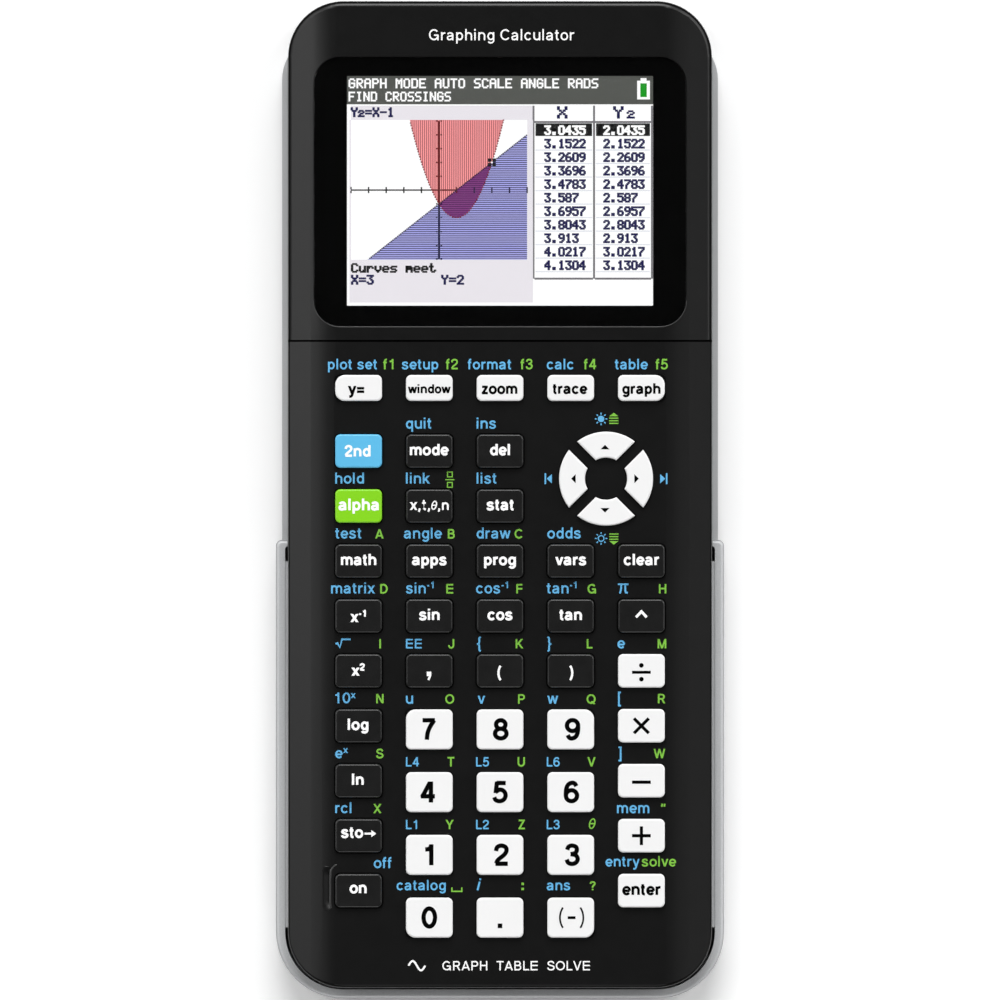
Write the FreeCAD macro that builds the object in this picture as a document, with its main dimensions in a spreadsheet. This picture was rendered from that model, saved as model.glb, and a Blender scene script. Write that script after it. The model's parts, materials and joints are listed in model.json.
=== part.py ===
import FreeCAD, Part
import math
import os

import Sketcher
from FreeCAD import Placement, Rotation, Vector

# A graphing calculator lying on its back, with its slide cover parked behind it.
# Millimetres. X is to the right, Y towards the display, Z up out of the keys.
# The origin is under the middle of the calculator, on the surface that it lies on.

SIZES = {
    # how far a cutting shape runs past its solid, and how far joined solids sink into each other
    "cut_margin": 1.0,
    "weld": 0.2,
    # front case: a shell with a flat face whose long sides slope down to the edge
    "case_half_width": 40.8,
    "case_top": 96.0,
    "case_bottom": -93.84,
    "case_corner": 10.7,
    "case_wall": 1.6,
    "case_edge_z": 9.5,
    "case_edge_round": 1.1,
    "face_z": 15.6,
    "face_wall": 1.6,
    "face_flat_half": 31.6,
    "face_bend_radius": 20.0,
    "face_slope": 14.0,
    "hollow_depth": 2.8,
    "hollow_margin": 3.8,
    "keypad_step": 0.15,
    "crease_y": 30.6,
    # display: the lens lies in a recess on a ledge, and the module is behind it
    "display_y": 59.3,
    "lens_width": 71.6,
    "lens_height": 51.8,
    "lens_corner": 5.0,
    "lens_top_z": 15.1,
    "lens_thickness": 0.8,
    "lens_edge_round": 0.15,
    "lens_gap": 0.1,
    "ledge_thickness": 1.0,
    "opening_width": 61.0,
    "opening_height": 46.4,
    "opening_corner": 0.8,
    "module_width": 65.0,
    "module_height": 50.6,
    "module_thickness": 2.3,
    "module_corner": 1.0,
    "module_gap": 0.1,
    "panel_inset": 1.4,
    "panel_thickness": 0.25,
    # keys
    "key_width": 9.0,
    "function_key_height": 5.0,
    "small_key_height": 6.45,
    "number_key_height": 7.7,
    "key_corner": 1.0,
    "large_corner": 1.85,
    "key_top_z": 16.8,
    "key_round": 0.35,
    "key_gap": 0.25,
    "flange_lip": 0.8,
    "flange_thickness": 0.9,
    "flange_gap": 0.1,
    "column_pitch": 13.6,
    "function_row_y": 21.55,
    "top_row_y": 9.41,
    "row_pitch": 10.57,
    "number_top_y": -44.14,
    "number_pitch": 12.07,
    # arrow keys: four segments of a ring
    "arrow_x": 20.4,
    "arrow_y": 4.1,
    "arrow_outer": 9.05,
    "arrow_inner": 4.05,
    "arrow_gap": 2.2,
    # recess beside the on key, which keeps a finger off it
    "guard_x": -33.35,
    "guard_y": -74.7,
    "guard_width": 1.7,
    "guard_length": 8.6,
    "guard_corner": 0.8,
    "guard_floor_z": 14.85,
    # rubber keypad
    "mat_half_width": 32.9,
    "mat_top": 27.0,
    "mat_bottom": -88.0,
    "mat_corner": 2.0,
    "mat_thickness": 0.8,
    "dome_radius": 2.1,
    "arrow_dome_radius": 1.5,
    "dome_clearance": 0.1,
    # circuit board
    "board_half_width": 33.0,
    "board_top": 90.0,
    "board_bottom": -89.0,
    "board_corner": 3.0,
    "board_thickness": 1.2,
    "board_z": 9.5,
    "chip_height": 1.2,
    "processor_x": 0.0,
    "processor_y": -28.0,
    "processor_width": 16.0,
    "processor_length": 16.0,
    "memory_x": 18.0,
    "memory_y": -30.0,
    "memory_width": 10.0,
    "memory_length": 8.0,
    "charger_x": -23.0,
    "charger_y": 75.0,
    "charger_width": 6.0,
    "charger_length": 6.0,
    "display_plug_x": 0.0,
    "display_plug_y": 72.0,
    "display_plug_width": 18.0,
    "display_plug_length": 4.0,
    "socket_width": 7.7,
    "socket_height": 3.9,
    "socket_depth": 9.2,
    "socket_wall": 0.4,
    "socket_back": 1.0,
    "socket_x": 20.0,
    "socket_mouth": 94.2,
    "tongue_width": 4.8,
    "tongue_thickness": 0.7,
    "tongue_recess": 1.2,
    "light_radius": 1.0,
    "light_x": 11.0,
    "light_length": 8.6,
    "light_proud": 0.1,
    # rear case: a tray with a ledge for the cover's lip and a tongue inside the front case
    "rear_half_width": 40.4,
    "rear_top": 95.6,
    "rear_bottom": -93.4,
    "rear_corner": 10.3,
    "rear_z": 1.8,
    "rear_edge_round": 1.5,
    "ledge_z": 7.4,
    "tongue_top_z": 10.6,
    "tongue_inset": 1.35,
    "rear_floor": 1.6,
    "port_gap": 0.2,
    "port_corner": 0.6,
    "light_gap": 0.1,
    # screws and the bosses they go through
    "screw_x": 35.4,
    "screw_y": 84.0,
    "screw_middle_y": 1.0,
    "shank_radius": 1.0,
    "shank_clearance": 0.2,
    "screw_head_radius": 1.9,
    "screw_head_height": 1.3,
    "head_pocket_radius": 2.2,
    "head_pocket_depth": 2.2,
    "screw_end_z": 12.2,
    "screw_end_gap": 0.2,
    "thread_gap": 0.02,
    "rear_boss_radius": 3.4,
    "rear_boss_top_z": 9.2,
    "front_boss_radius": 2.0,
    "front_boss_z": 9.4,
    "slot_width": 0.5,
    "slot_depth": 0.6,
    "slot_reach": 1.33,
    # battery bay
    "bay_y": 30.0,
    "bay_width": 46.0,
    "bay_height": 60.0,
    "bay_wall": 3.0,
    "bay_roof_z": 8.1,
    "bay_roof": 1.1,
    "bay_corner": 2.0,
    "battery_gap": 0.5,
    "battery_play": 0.2,
    "battery_round": 0.6,
    "door_thickness": 1.2,
    "door_lip": 1.5,
    "door_gap": 0.15,
    "door_play": 0.05,
    "door_screw_drop": 6.0,
    "door_screw_depth": 5.0,
    # slide cover: a tray, taller and wider over its lower half
    "cover_floor": 1.5,
    "cover_bottom": -96.0,
    "cover_top": 90.0,
    "cover_upper_half": 42.0,
    "cover_upper_inner": 40.9,
    "cover_upper_z": 6.0,
    "cover_upper_corner": 9.0,
    "cover_half": 43.15,
    "cover_inner": 41.4,
    "cover_end_wall": 1.75,
    "cover_z": 9.2,
    "cover_corner": 12.9,
    "cover_inner_corner": 11.1,
    "cover_shoulder_y": -7.7,
    "shoulder_corner": 1.1,
    "shoulder_wall": 1.2,
    "shoulder_inner_corner": 0.6,
    "shoulder_overlap": 10.0,
    "cover_edge_round": 0.7,
    "cover_base_round": 1.2,
    "lip_top": -11.8,
    "lip_bottom": -82.3,
    "lip_reach": 1.5,
    "lip_thickness": 1.3,
    "lip_drop": 0.15,
    "lip_root": 0.4,
    "lip_corner": 0.35,
    "rib_length": 26.0,
    "rib_width": 1.0,
    "rib_corner": 0.49,
    "rib_depth": 0.35,
    "rib_pitch": 2.6,
    "rib_y": -84.0,
}

COLUMNS = 5
RIBS = 6

doc = FreeCAD.newDocument("GraphingCalculator")
sheet = doc.addObject("Spreadsheet::Sheet", "Sizes")
for row, (alias, number) in enumerate(SIZES.items(), 1):
    sheet.set(f"A{row}", alias.replace("_", " "))
    sheet.set(f"B{row}", str(number))
    sheet.setAlias(f"B{row}", alias)
doc.recompute()


# ---------------------------------------------------------------- helpers


def value_of(expression):
    """The number that an expression over the sheet gives now."""
    return float(sheet.evalExpression(expression))


def bind(thing, **expressions):
    """Binds properties of an object to expressions over the sheet."""
    for path, expression in expressions.items():
        thing.setExpression(path.replace("__", "."), expression)


def new_body(label):
    body = doc.addObject("PartDesign::Body", label)
    body.Label = label
    return body


def new_sketch(body, name, plane="XY_Plane", offset="0", x="0", y="0"):
    """A sketch on one of the body's origin planes, moved along its normal by offset."""
    sketch = body.newObject("Sketcher::SketchObject", name)
    origin_plane = next(f for f in body.Origin.OriginFeatures if f.Role == plane)
    sketch.AttachmentSupport = [(origin_plane, "")]
    sketch.MapMode = "FlatFace"
    bind(sketch, AttachmentOffset__Base__x=x, AttachmentOffset__Base__y=y)
    bind(sketch, AttachmentOffset__Base__z=offset)
    return sketch


def dimension(sketch, kind, *where):
    """Adds a driving dimension whose last argument is an expression over the sheet."""
    *where, expression = where
    constraint = Sketcher.Constraint(kind, *where, value_of(expression))
    index = sketch.addConstraint(constraint)
    sketch.setExpression(f"Constraints[{index}]", expression)


def place_x(sketch, line, end, expression):
    dimension(sketch, "DistanceX", -1, 1, line, end, expression)


def place_y(sketch, line, end, expression):
    dimension(sketch, "DistanceY", -1, 1, line, end, expression)


def draw_line(sketch, start, end):
    return sketch.addGeometry(Part.LineSegment(Vector(*start), Vector(*end)))


def draw_arc(sketch, centre, radius, first, last):
    """An arc drawn anticlockwise between two angles in degrees."""
    circle = Part.Circle(Vector(*centre), Vector(0, 0, 1), radius)
    return sketch.addGeometry(Part.ArcOfCircle(circle, math.radians(first), math.radians(last)))


def rectangle(sketch, left, right, bottom, top, corners=None):
    """A rectangle between four expressions. Corners are radii, from top right, anticlockwise."""
    x0, x1 = value_of(left), value_of(right)
    y0, y1 = value_of(bottom), value_of(top)
    if corners is None:
        points = [(x1, y1, 0), (x0, y1, 0), (x0, y0, 0), (x1, y0, 0)]
        sides = [
            draw_line(sketch, points[i], points[(i + 1) % 4])
            for i in range(4)
        ]
        for i in range(4):
            joint = ("Coincident", sides[i], 2, sides[(i + 1) % 4], 1)
            sketch.addConstraint(Sketcher.Constraint(*joint))
    else:
        radii = [value_of(c) for c in corners]
        middles = [
            (x1 - radii[0], y1 - radii[0], 0),
            (x0 + radii[1], y1 - radii[1], 0),
            (x0 + radii[2], y0 + radii[2], 0),
            (x1 - radii[3], y0 + radii[3], 0),
        ]
        arcs = [
            draw_arc(sketch, middles[i], radii[i], 90 * i, 90 * (i + 1))
            for i in range(4)
        ]
        sides = [
            draw_line(sketch, (x1 - radii[0], y1, 0), (x0 + radii[1], y1, 0)),
            draw_line(sketch, (x0, y1 - radii[1], 0), (x0, y0 + radii[2], 0)),
            draw_line(sketch, (x0 + radii[2], y0, 0), (x1 - radii[3], y0, 0)),
            draw_line(sketch, (x1, y0 + radii[3], 0), (x1, y1 - radii[0], 0)),
        ]
        for i in range(4):
            before = ("Tangent", arcs[i], 2, sides[i], 1)
            after = ("Tangent", sides[i], 2, arcs[(i + 1) % 4], 1)
            sketch.addConstraint(Sketcher.Constraint(*before))
            sketch.addConstraint(Sketcher.Constraint(*after))
            dimension(sketch, "Radius", arcs[i], corners[i])
    for side in (sides[0], sides[2]):
        sketch.addConstraint(Sketcher.Constraint("Horizontal", side))
    for side in (sides[1], sides[3]):
        sketch.addConstraint(Sketcher.Constraint("Vertical", side))
    place_y(sketch, sides[0], 1, top)
    place_x(sketch, sides[1], 1, left)
    place_y(sketch, sides[2], 1, bottom)
    place_x(sketch, sides[3], 1, right)


def centred_rectangle(sketch, width, height, corners=None, x="0", y="0"):
    """A rectangle of a width and height about a point, all given as expressions."""
    rectangle(
        sketch,
        f"{x} - ({width}) / 2",
        f"{x} + ({width}) / 2",
        f"{y} - ({height}) / 2",
        f"{y} + ({height}) / 2",
        corners,
    )


def circle(sketch, x, y, radius):
    centre = Vector(value_of(x), value_of(y), 0)
    ring = sketch.addGeometry(Part.Circle(centre, Vector(0, 0, 1), value_of(radius)))
    place_x(sketch, ring, 3, x)
    place_y(sketch, ring, 3, y)
    dimension(sketch, "Radius", ring, radius)


def crown(sketch, half_width, top, base):
    """A flat line at height top that bends down over both sides and is closed at height base."""
    flat = value_of("Sizes.face_flat_half")
    radius = value_of("Sizes.face_bend_radius")
    slope = value_of("Sizes.face_slope")
    w, z1, z0 = value_of(half_width), value_of(top), value_of(base)
    turn = Rotation(Vector(0, 0, 1), -slope).multVec(Vector(0, radius, 0))
    bend_x, bend_z = flat + turn.x, z1 - radius + turn.y
    fall = Rotation(Vector(0, 0, 1), -slope).multVec(Vector(1, 0, 0))
    side_z = bend_z + (w - bend_x) * fall.y / fall.x
    base_line = draw_line(sketch, (-w, z0, 0), (w, z0, 0))
    right = draw_line(sketch, (w, z0, 0), (w, side_z, 0))
    right_slope = draw_line(sketch, (w, side_z, 0), (bend_x, bend_z, 0))
    right_bend = draw_arc(sketch, (flat, z1 - radius, 0), radius, 90 - slope, 90)
    top_line = draw_line(sketch, (flat, z1, 0), (-flat, z1, 0))
    left_bend = draw_arc(sketch, (-flat, z1 - radius, 0), radius, 90, 90 + slope)
    left_slope = draw_line(sketch, (-bend_x, bend_z, 0), (-w, side_z, 0))
    left = draw_line(sketch, (-w, side_z, 0), (-w, z0, 0))
    round_trip = [base_line, right, right_slope, right_bend, top_line, left_bend, left_slope, left]
    for first, second in zip(round_trip, round_trip[1:] + round_trip[:1]):
        smooth = {first, second} & {right_bend, left_bend}
        kind = "Tangent" if smooth else "Coincident"
        sketch.addConstraint(Sketcher.Constraint(kind, first, 2, second, 1))
    for line in (base_line, top_line):
        sketch.addConstraint(Sketcher.Constraint("Horizontal", line))
    for line in (right, left):
        sketch.addConstraint(Sketcher.Constraint("Vertical", line))
    for arc in (right_bend, left_bend):
        dimension(sketch, "Radius", arc, "Sizes.face_bend_radius")
    place_y(sketch, base_line, 1, base)
    place_y(sketch, top_line, 1, top)
    place_x(sketch, right, 1, half_width)
    place_x(sketch, left, 1, f"-({half_width})")
    place_x(sketch, top_line, 1, "Sizes.face_flat_half")
    place_x(sketch, top_line, 2, "-Sizes.face_flat_half")
    place_x(sketch, right_slope, 2, "Sizes.face_flat_half + Sizes.face_bend_radius * sin(Sizes.face_slope)")
    place_x(sketch, left_slope, 1, "-Sizes.face_flat_half - Sizes.face_bend_radius * sin(Sizes.face_slope)")


def ring_segment(sketch, inner, outer, gap):
    """A quarter of a ring about the sketch's origin, to the right, with parallel gaps beside it."""
    r0, r1, half = value_of(inner), value_of(outer), value_of(gap) / 2
    ends = []
    for radius in (r0, r1):
        along = math.sqrt(radius * radius - half * half)
        ends.append(((along + half) / math.sqrt(2), (along - half) / math.sqrt(2)))
    (ax, ay), (bx, by) = ends
    angle_0 = math.degrees(math.atan2(ay, ax))
    angle_1 = math.degrees(math.atan2(by, bx))
    outer_arc = draw_arc(sketch, (0, 0, 0), r1, -angle_1, angle_1)
    upper = draw_line(sketch, (bx, by, 0), (ax, ay, 0))
    inner_arc = draw_arc(sketch, (0, 0, 0), r0, -angle_0, angle_0)
    lower = draw_line(sketch, (ax, -ay, 0), (bx, -by, 0))
    for pair in (
        (outer_arc, 2, upper, 1),
        (upper, 2, inner_arc, 2),
        (inner_arc, 1, lower, 1),
        (lower, 2, outer_arc, 1),
        (outer_arc, 3, -1, 1),
        (inner_arc, 3, -1, 1),
    ):
        sketch.addConstraint(Sketcher.Constraint("Coincident", *pair))
    dimension(sketch, "Radius", outer_arc, outer)
    dimension(sketch, "Radius", inner_arc, inner)
    for line in (upper, lower):
        dimension(sketch, "Distance", -1, 1, line, f"({gap}) / 2")
    dimension(sketch, "Angle", lower, "-45")
    dimension(sketch, "Angle", upper, "225")


def pad(body, sketch, name, length, reverse=False):
    feature = body.newObject("PartDesign::Pad", name)
    feature.Profile = sketch
    feature.Reversed = reverse
    bind(feature, Length=length)
    sketch.Visibility = False
    doc.recompute()
    return feature


def pocket(body, sketch, name, depth, upwards=False):
    """Cuts a sketch into the body, downwards (or against the sketch's normal) unless upwards."""
    before = body.Shape.Volume
    feature = body.newObject("PartDesign::Pocket", name)
    feature.Profile = sketch
    feature.Reversed = upwards
    bind(feature, Length=depth)
    sketch.Visibility = False
    doc.recompute()
    if not body.Shape.Volume < before - 1e-6:
        raise RuntimeError(f"{name} cuts nothing")
    return feature


def edges_where(shape, test):
    """Names of the edges whose middle point passes a test."""
    names = []
    for number, edge in enumerate(shape.Edges, 1):
        middle = edge.valueAt((edge.FirstParameter + edge.LastParameter) / 2)
        if test(middle, edge):
            names.append(f"Edge{number}")
    return names


def top_rim(shape, low_z):
    """Names of the edges above a height where an upright face meets one that faces up."""
    names = []
    for number, edge in enumerate(shape.Edges, 1):
        middle = edge.valueAt((edge.FirstParameter + edge.LastParameter) / 2)
        faces = [f for f in shape.Faces if any(e.isSame(edge) for e in f.Edges)]
        upright = [f for f in faces if abs(f.normalAt(*f.Surface.parameter(middle)).z) < 0.01]
        if middle.z > low_z and len(upright) == 1:
            names.append(f"Edge{number}")
    return names


def fillet(body, base, name, radius, test):
    feature = body.newObject("PartDesign::Fillet", name)
    feature.Base = (base, edges_where(base.Shape, test))
    bind(feature, Radius=radius)
    doc.recompute()
    return feature


def flat_at(z):
    """A test for edges that lie whole at one height."""
    return lambda middle, edge: all(abs(v.Z - z) < 1e-4 for v in edge.Vertexes) and abs(middle.z - z) < 1e-4


def repeat_along_y(body, cut, name, sketch, count, spacing, downwards=False):
    """Repeats a cut along its sketch's vertical axis, and makes sure that every copy cuts."""
    once = cut.BaseFeature.Shape.Volume - cut.Shape.Volume
    feature = body.newObject("PartDesign::LinearPattern", name)
    feature.Originals = [cut]
    feature.Direction = (sketch, ["V_Axis"])
    feature.Reversed = downwards
    feature.Mode = "Spacing"
    feature.Occurrences = count
    bind(feature, Offset=spacing)
    body.Tip = feature
    doc.recompute()
    in_all = cut.BaseFeature.Shape.Volume - feature.Shape.Volume
    if abs(in_all - count * once) > once / 100:
        raise RuntimeError(f"{name} doesn't cut {count} times")


def primitive(kind, name, **expressions):
    """A Part primitive whose sizes and place are bound to the sheet."""
    thing = doc.addObject(f"Part::{kind}", name)
    bind(thing, **expressions)
    return thing


def box_between(name, x0, x1, y0, y1, z0, z1):
    return primitive(
        "Box",
        name,
        Length=f"({x1}) - ({x0})",
        Width=f"({y1}) - ({y0})",
        Height=f"({z1}) - ({z0})",
        Placement__Base__x=x0,
        Placement__Base__y=y0,
        Placement__Base__z=z0,
    )


def cylinder_up(name, radius, x, y, z0, z1):
    return primitive(
        "Cylinder",
        name,
        Radius=radius,
        Height=f"({z1}) - ({z0})",
        Placement__Base__x=x,
        Placement__Base__y=y,
        Placement__Base__z=z0,
    )


def compound(label, things):
    group = doc.addObject("Part::Compound", label)
    group.Label = label
    group.Links = things
    return group


# ---------------------------------------------------------------- shared places

FOUR_CASE_CORNERS = ["Sizes.case_corner"] * 4
SCREW_PLACES = [
    (f"{side} * Sizes.screw_x", y)
    for side in (-1, 1)
    for y in ("Sizes.screw_y", "Sizes.screw_middle_y", "-Sizes.screw_y")
]
DOOR_SCREW_Y = "Sizes.bay_y - Sizes.bay_height / 2 - Sizes.door_screw_drop / 2"
LENS_FLOOR_Z = "Sizes.lens_top_z - Sizes.lens_thickness"
FLANGE_TOP_Z = "Sizes.face_z - Sizes.face_wall - Sizes.flange_gap"
FLANGE_Z = f"{FLANGE_TOP_Z} - Sizes.flange_thickness"
BOARD_TOP_Z = "Sizes.board_z + Sizes.board_thickness"
KEYPAD_FACE_Z = "Sizes.face_z - Sizes.keypad_step"
ABOVE_FACE_Z = "Sizes.face_z + Sizes.cut_margin"
THROUGH_FACE = "Sizes.face_wall + Sizes.cut_margin"
SOCKET_Z = "Sizes.board_z - Sizes.socket_height / 2"


def column_x(column):
    return f"{column - COLUMNS // 2} * Sizes.column_pitch"


def row_y(row):
    return f"Sizes.top_row_y - {row} * Sizes.row_pitch"


def number_row_y(row):
    return f"Sizes.number_top_y - {row} * Sizes.number_pitch"


# Each key: name, column, row centre, height
FUNCTION_KEYS = ["key_y_equals", "key_window", "key_zoom", "key_trace", "key_graph"]
SMALL_ROWS = [
    ["key_second", "key_mode", "key_del", None, None],
    ["key_alpha", "key_variable", "key_stat", None, None],
    ["key_math", "key_apps", "key_prgm", "key_vars", "key_clear"],
    ["key_inverse", "key_sin", "key_cos", "key_tan", "key_power"],
    ["key_square", "key_comma", "key_open_paren", "key_close_paren", "key_divide"],
    ["key_log", None, None, None, "key_multiply"],
    ["key_ln", None, None, None, "key_minus"],
    ["key_store", None, None, None, "key_plus"],
    ["key_on", None, None, None, "key_enter"],
]
NUMBER_ROWS = [
    ["key_7", "key_8", "key_9"],
    ["key_4", "key_5", "key_6"],
    ["key_1", "key_2", "key_3"],
    ["key_0", "key_point", "key_negate"],
]
# Corners that are rounder than the rest, from top right, anticlockwise
ROUNDER_CORNERS = {
    "key_y_equals": (1, 2),
    "key_graph": (0, 3),
    "key_7": (1,),
    "key_9": (0,),
    "key_0": (2,),
    "key_negate": (3,),
}
ARROW_KEYS = {"key_right": 0, "key_up": 90, "key_left": 180, "key_down": 270}

KEYS = [
    (name, column_x(column), "Sizes.function_row_y", "Sizes.function_key_height")
    for column, name in enumerate(FUNCTION_KEYS)
]
KEYS += [
    (name, column_x(column), row_y(row), "Sizes.small_key_height")
    for row, names in enumerate(SMALL_ROWS)
    for column, name in enumerate(names)
    if name
]
KEYS += [
    (name, column_x(column), number_row_y(row), "Sizes.number_key_height")
    for row, names in enumerate(NUMBER_ROWS)
    for column, name in enumerate(names, 1)
]


# ---------------------------------------------------------------- front case


def window_grid(body, name, columns, top_y, height, rows=1, drop="0"):
    """Cuts key windows in some columns, in rows that follow each other downwards by drop."""
    sketch = new_sketch(body, f"{name}Sketch", offset="Sizes.face_z", y=top_y)
    for column in columns:
        centred_rectangle(
            sketch,
            "Sizes.key_width + 2 * Sizes.key_gap",
            f"{height} + 2 * Sizes.key_gap",
            ["Sizes.key_corner + Sizes.key_gap"] * 4,
            x=column_x(column),
        )
    windows = pocket(body, sketch, name, THROUGH_FACE)
    if rows > 1:
        repeat_along_y(body, windows, f"{name}Rows", sketch, rows, drop, downwards=True)


def make_front_case():
    body = new_body("front_case")
    length = "Sizes.case_top - Sizes.case_bottom"
    # the XZ plane's normal points along -Y, so a pad from the top end runs to the bottom end
    outside = new_sketch(body, "OutsideSketch", "XZ_Plane", offset="-Sizes.case_top")
    crown(outside, "Sizes.case_half_width", "Sizes.face_z", "Sizes.case_edge_z")
    pad(body, outside, "Outside", length)

    trim = new_sketch(body, "CornerTrimSketch", offset=ABOVE_FACE_Z)
    rectangle(
        trim,
        "-Sizes.case_half_width",
        "Sizes.case_half_width",
        "Sizes.case_bottom",
        "Sizes.case_top",
        FOUR_CASE_CORNERS,
    )
    rectangle(
        trim,
        "-2 * Sizes.case_half_width",
        "2 * Sizes.case_half_width",
        "2 * Sizes.case_bottom",
        "2 * Sizes.case_top",
    )
    trimmed = pocket(body, trim, "CornerTrim", ABOVE_FACE_Z)

    shape = body.Shape
    rim = body.newObject("PartDesign::Fillet", "RimRound")
    rim.Base = (trimmed, top_rim(shape, value_of("Sizes.case_edge_z + Sizes.case_wall")))
    bind(rim, Radius="Sizes.case_edge_round")
    doc.recompute()

    step = new_sketch(body, "KeypadStepSketch", "XZ_Plane", offset="-Sizes.crease_y")
    step_half = "Sizes.case_half_width + Sizes.cut_margin"
    crown(step, step_half, KEYPAD_FACE_Z, f"{ABOVE_FACE_Z} + Sizes.cut_margin")
    pocket(body, step, "KeypadStep", length, upwards=True)

    inside = new_sketch(body, "HollowSketch", offset="Sizes.case_edge_z")
    rectangle(
        inside,
        "-Sizes.case_half_width + Sizes.case_wall",
        "Sizes.case_half_width - Sizes.case_wall",
        "Sizes.case_bottom + Sizes.case_wall",
        "Sizes.case_top - Sizes.case_wall",
        ["Sizes.case_corner - Sizes.case_wall"] * 4,
    )
    pocket(body, inside, "Hollow", "Sizes.hollow_depth", upwards=True)
    roof_offset = "-Sizes.case_top + Sizes.hollow_margin"
    roof = new_sketch(body, "HollowRoofSketch", "XZ_Plane", offset=roof_offset)
    crown(
        roof,
        "Sizes.case_half_width - Sizes.hollow_margin",
        "Sizes.face_z - Sizes.face_wall",
        "Sizes.case_edge_z",
    )
    pocket(body, roof, "HollowRoof", f"{length} - 2 * Sizes.hollow_margin", upwards=True)

    ledge = new_sketch(body, "DisplayLedgeSketch", offset=f"{LENS_FLOOR_Z} - Sizes.ledge_thickness")
    centred_rectangle(ledge, "Sizes.lens_width", "Sizes.lens_height", y="Sizes.display_y")
    pad(body, ledge, "DisplayLedge", "Sizes.ledge_thickness")
    recess = new_sketch(body, "LensRecessSketch", offset=ABOVE_FACE_Z)
    centred_rectangle(
        recess,
        "Sizes.lens_width + 2 * Sizes.lens_gap",
        "Sizes.lens_height + 2 * Sizes.lens_gap",
        ["Sizes.lens_corner + Sizes.lens_gap"] * 4,
        y="Sizes.display_y",
    )
    pocket(body, recess, "LensRecess", f"{ABOVE_FACE_Z} - ({LENS_FLOOR_Z})")
    opening = new_sketch(body, "DisplayOpeningSketch", offset="Sizes.face_z")
    centred_rectangle(
        opening,
        "Sizes.opening_width",
        "Sizes.opening_height",
        ["Sizes.opening_corner"] * 4,
        y="Sizes.display_y",
    )
    ledge_z = f"{LENS_FLOOR_Z} - Sizes.ledge_thickness"
    pocket(body, opening, "DisplayOpening", f"Sizes.face_z - ({ledge_z}) + Sizes.cut_margin")

    small, drop = "Sizes.small_key_height", "Sizes.row_pitch"
    every, first, last = range(COLUMNS), 0, COLUMNS - 1
    window_grid(body, "FunctionWindow", every, "Sizes.function_row_y", "Sizes.function_key_height")
    window_grid(body, "UpperWindow", (0, 1, 2), row_y(0), small, 2, drop)
    window_grid(body, "MiddleWindow", every, row_y(2), small, 3, drop)
    window_grid(body, "SideWindow", (first, last), row_y(5), small, 4, drop)
    window_grid(
        body,
        "NumberWindow",
        (1, 2, 3),
        number_row_y(0),
        "Sizes.number_key_height",
        len(NUMBER_ROWS),
        "Sizes.number_pitch",
    )

    arrows = new_sketch(
        body, "ArrowWindowSketch", offset="Sizes.face_z", x="Sizes.arrow_x", y="Sizes.arrow_y"
    )
    ring_segment(
        arrows,
        "Sizes.arrow_inner - Sizes.key_gap",
        "Sizes.arrow_outer + Sizes.key_gap",
        "Sizes.arrow_gap - 2 * Sizes.key_gap",
    )
    window = pocket(body, arrows, "ArrowWindow", THROUGH_FACE)
    ring = body.newObject("PartDesign::PolarPattern", "ArrowWindowRing")
    ring.Originals = [window]
    ring.Axis = (arrows, ["N_Axis"])
    ring.Occurrences = len(ARROW_KEYS)
    body.Tip = ring
    doc.recompute()

    guard = new_sketch(body, "OnGuardSketch", offset=ABOVE_FACE_Z)
    centred_rectangle(
        guard,
        "Sizes.guard_width",
        "Sizes.guard_length",
        ["Sizes.guard_corner"] * 4,
        x="Sizes.guard_x",
        y="Sizes.guard_y",
    )
    pocket(body, guard, "OnGuard", f"{ABOVE_FACE_Z} - Sizes.guard_floor_z")

    bosses = new_sketch(body, "BossSketch", offset="Sizes.front_boss_z")
    holes = new_sketch(body, "BossHoleSketch", offset="Sizes.front_boss_z")
    for x, y in SCREW_PLACES:
        circle(bosses, x, y, "Sizes.front_boss_radius")
        circle(holes, x, y, "Sizes.shank_radius")
    pad(body, bosses, "Bosses", "Sizes.face_z - Sizes.face_wall + Sizes.weld - Sizes.front_boss_z")
    hole_depth = "Sizes.screw_end_z + Sizes.screw_end_gap - Sizes.front_boss_z"
    pocket(body, holes, "BossHoles", hole_depth, upwards=True)
    return body


# ---------------------------------------------------------------- display


def make_display_lens():
    body = new_body("display_lens")
    outline = new_sketch(body, "LensSketch", offset=LENS_FLOOR_Z)
    corners = ["Sizes.lens_corner"] * 4
    centred_rectangle(outline, "Sizes.lens_width", "Sizes.lens_height", corners, y="Sizes.display_y")
    plate = pad(body, outline, "LensPlate", "Sizes.lens_thickness")
    fillet(body, plate, "LensEdge", "Sizes.lens_edge_round", flat_at(value_of("Sizes.lens_top_z")))
    return body


def make_display_module():
    body = new_body("display_module")
    top_z = f"{LENS_FLOOR_Z} - Sizes.ledge_thickness - Sizes.module_gap"
    frame = new_sketch(body, "ModuleFrameSketch", offset=f"{top_z} - Sizes.module_thickness")
    corners = ["Sizes.module_corner"] * 4
    centred_rectangle(frame, "Sizes.module_width", "Sizes.module_height", corners, y="Sizes.display_y")
    pad(body, frame, "ModuleFrame", "Sizes.module_thickness")
    panel = new_sketch(body, "PanelSketch", offset=top_z)
    centred_rectangle(
        panel,
        "Sizes.opening_width - Sizes.panel_inset",
        "Sizes.opening_height - Sizes.panel_inset",
        y="Sizes.display_y",
    )
    pad(body, panel, "Panel", "Sizes.panel_thickness")
    return body


# ---------------------------------------------------------------- keys


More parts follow.
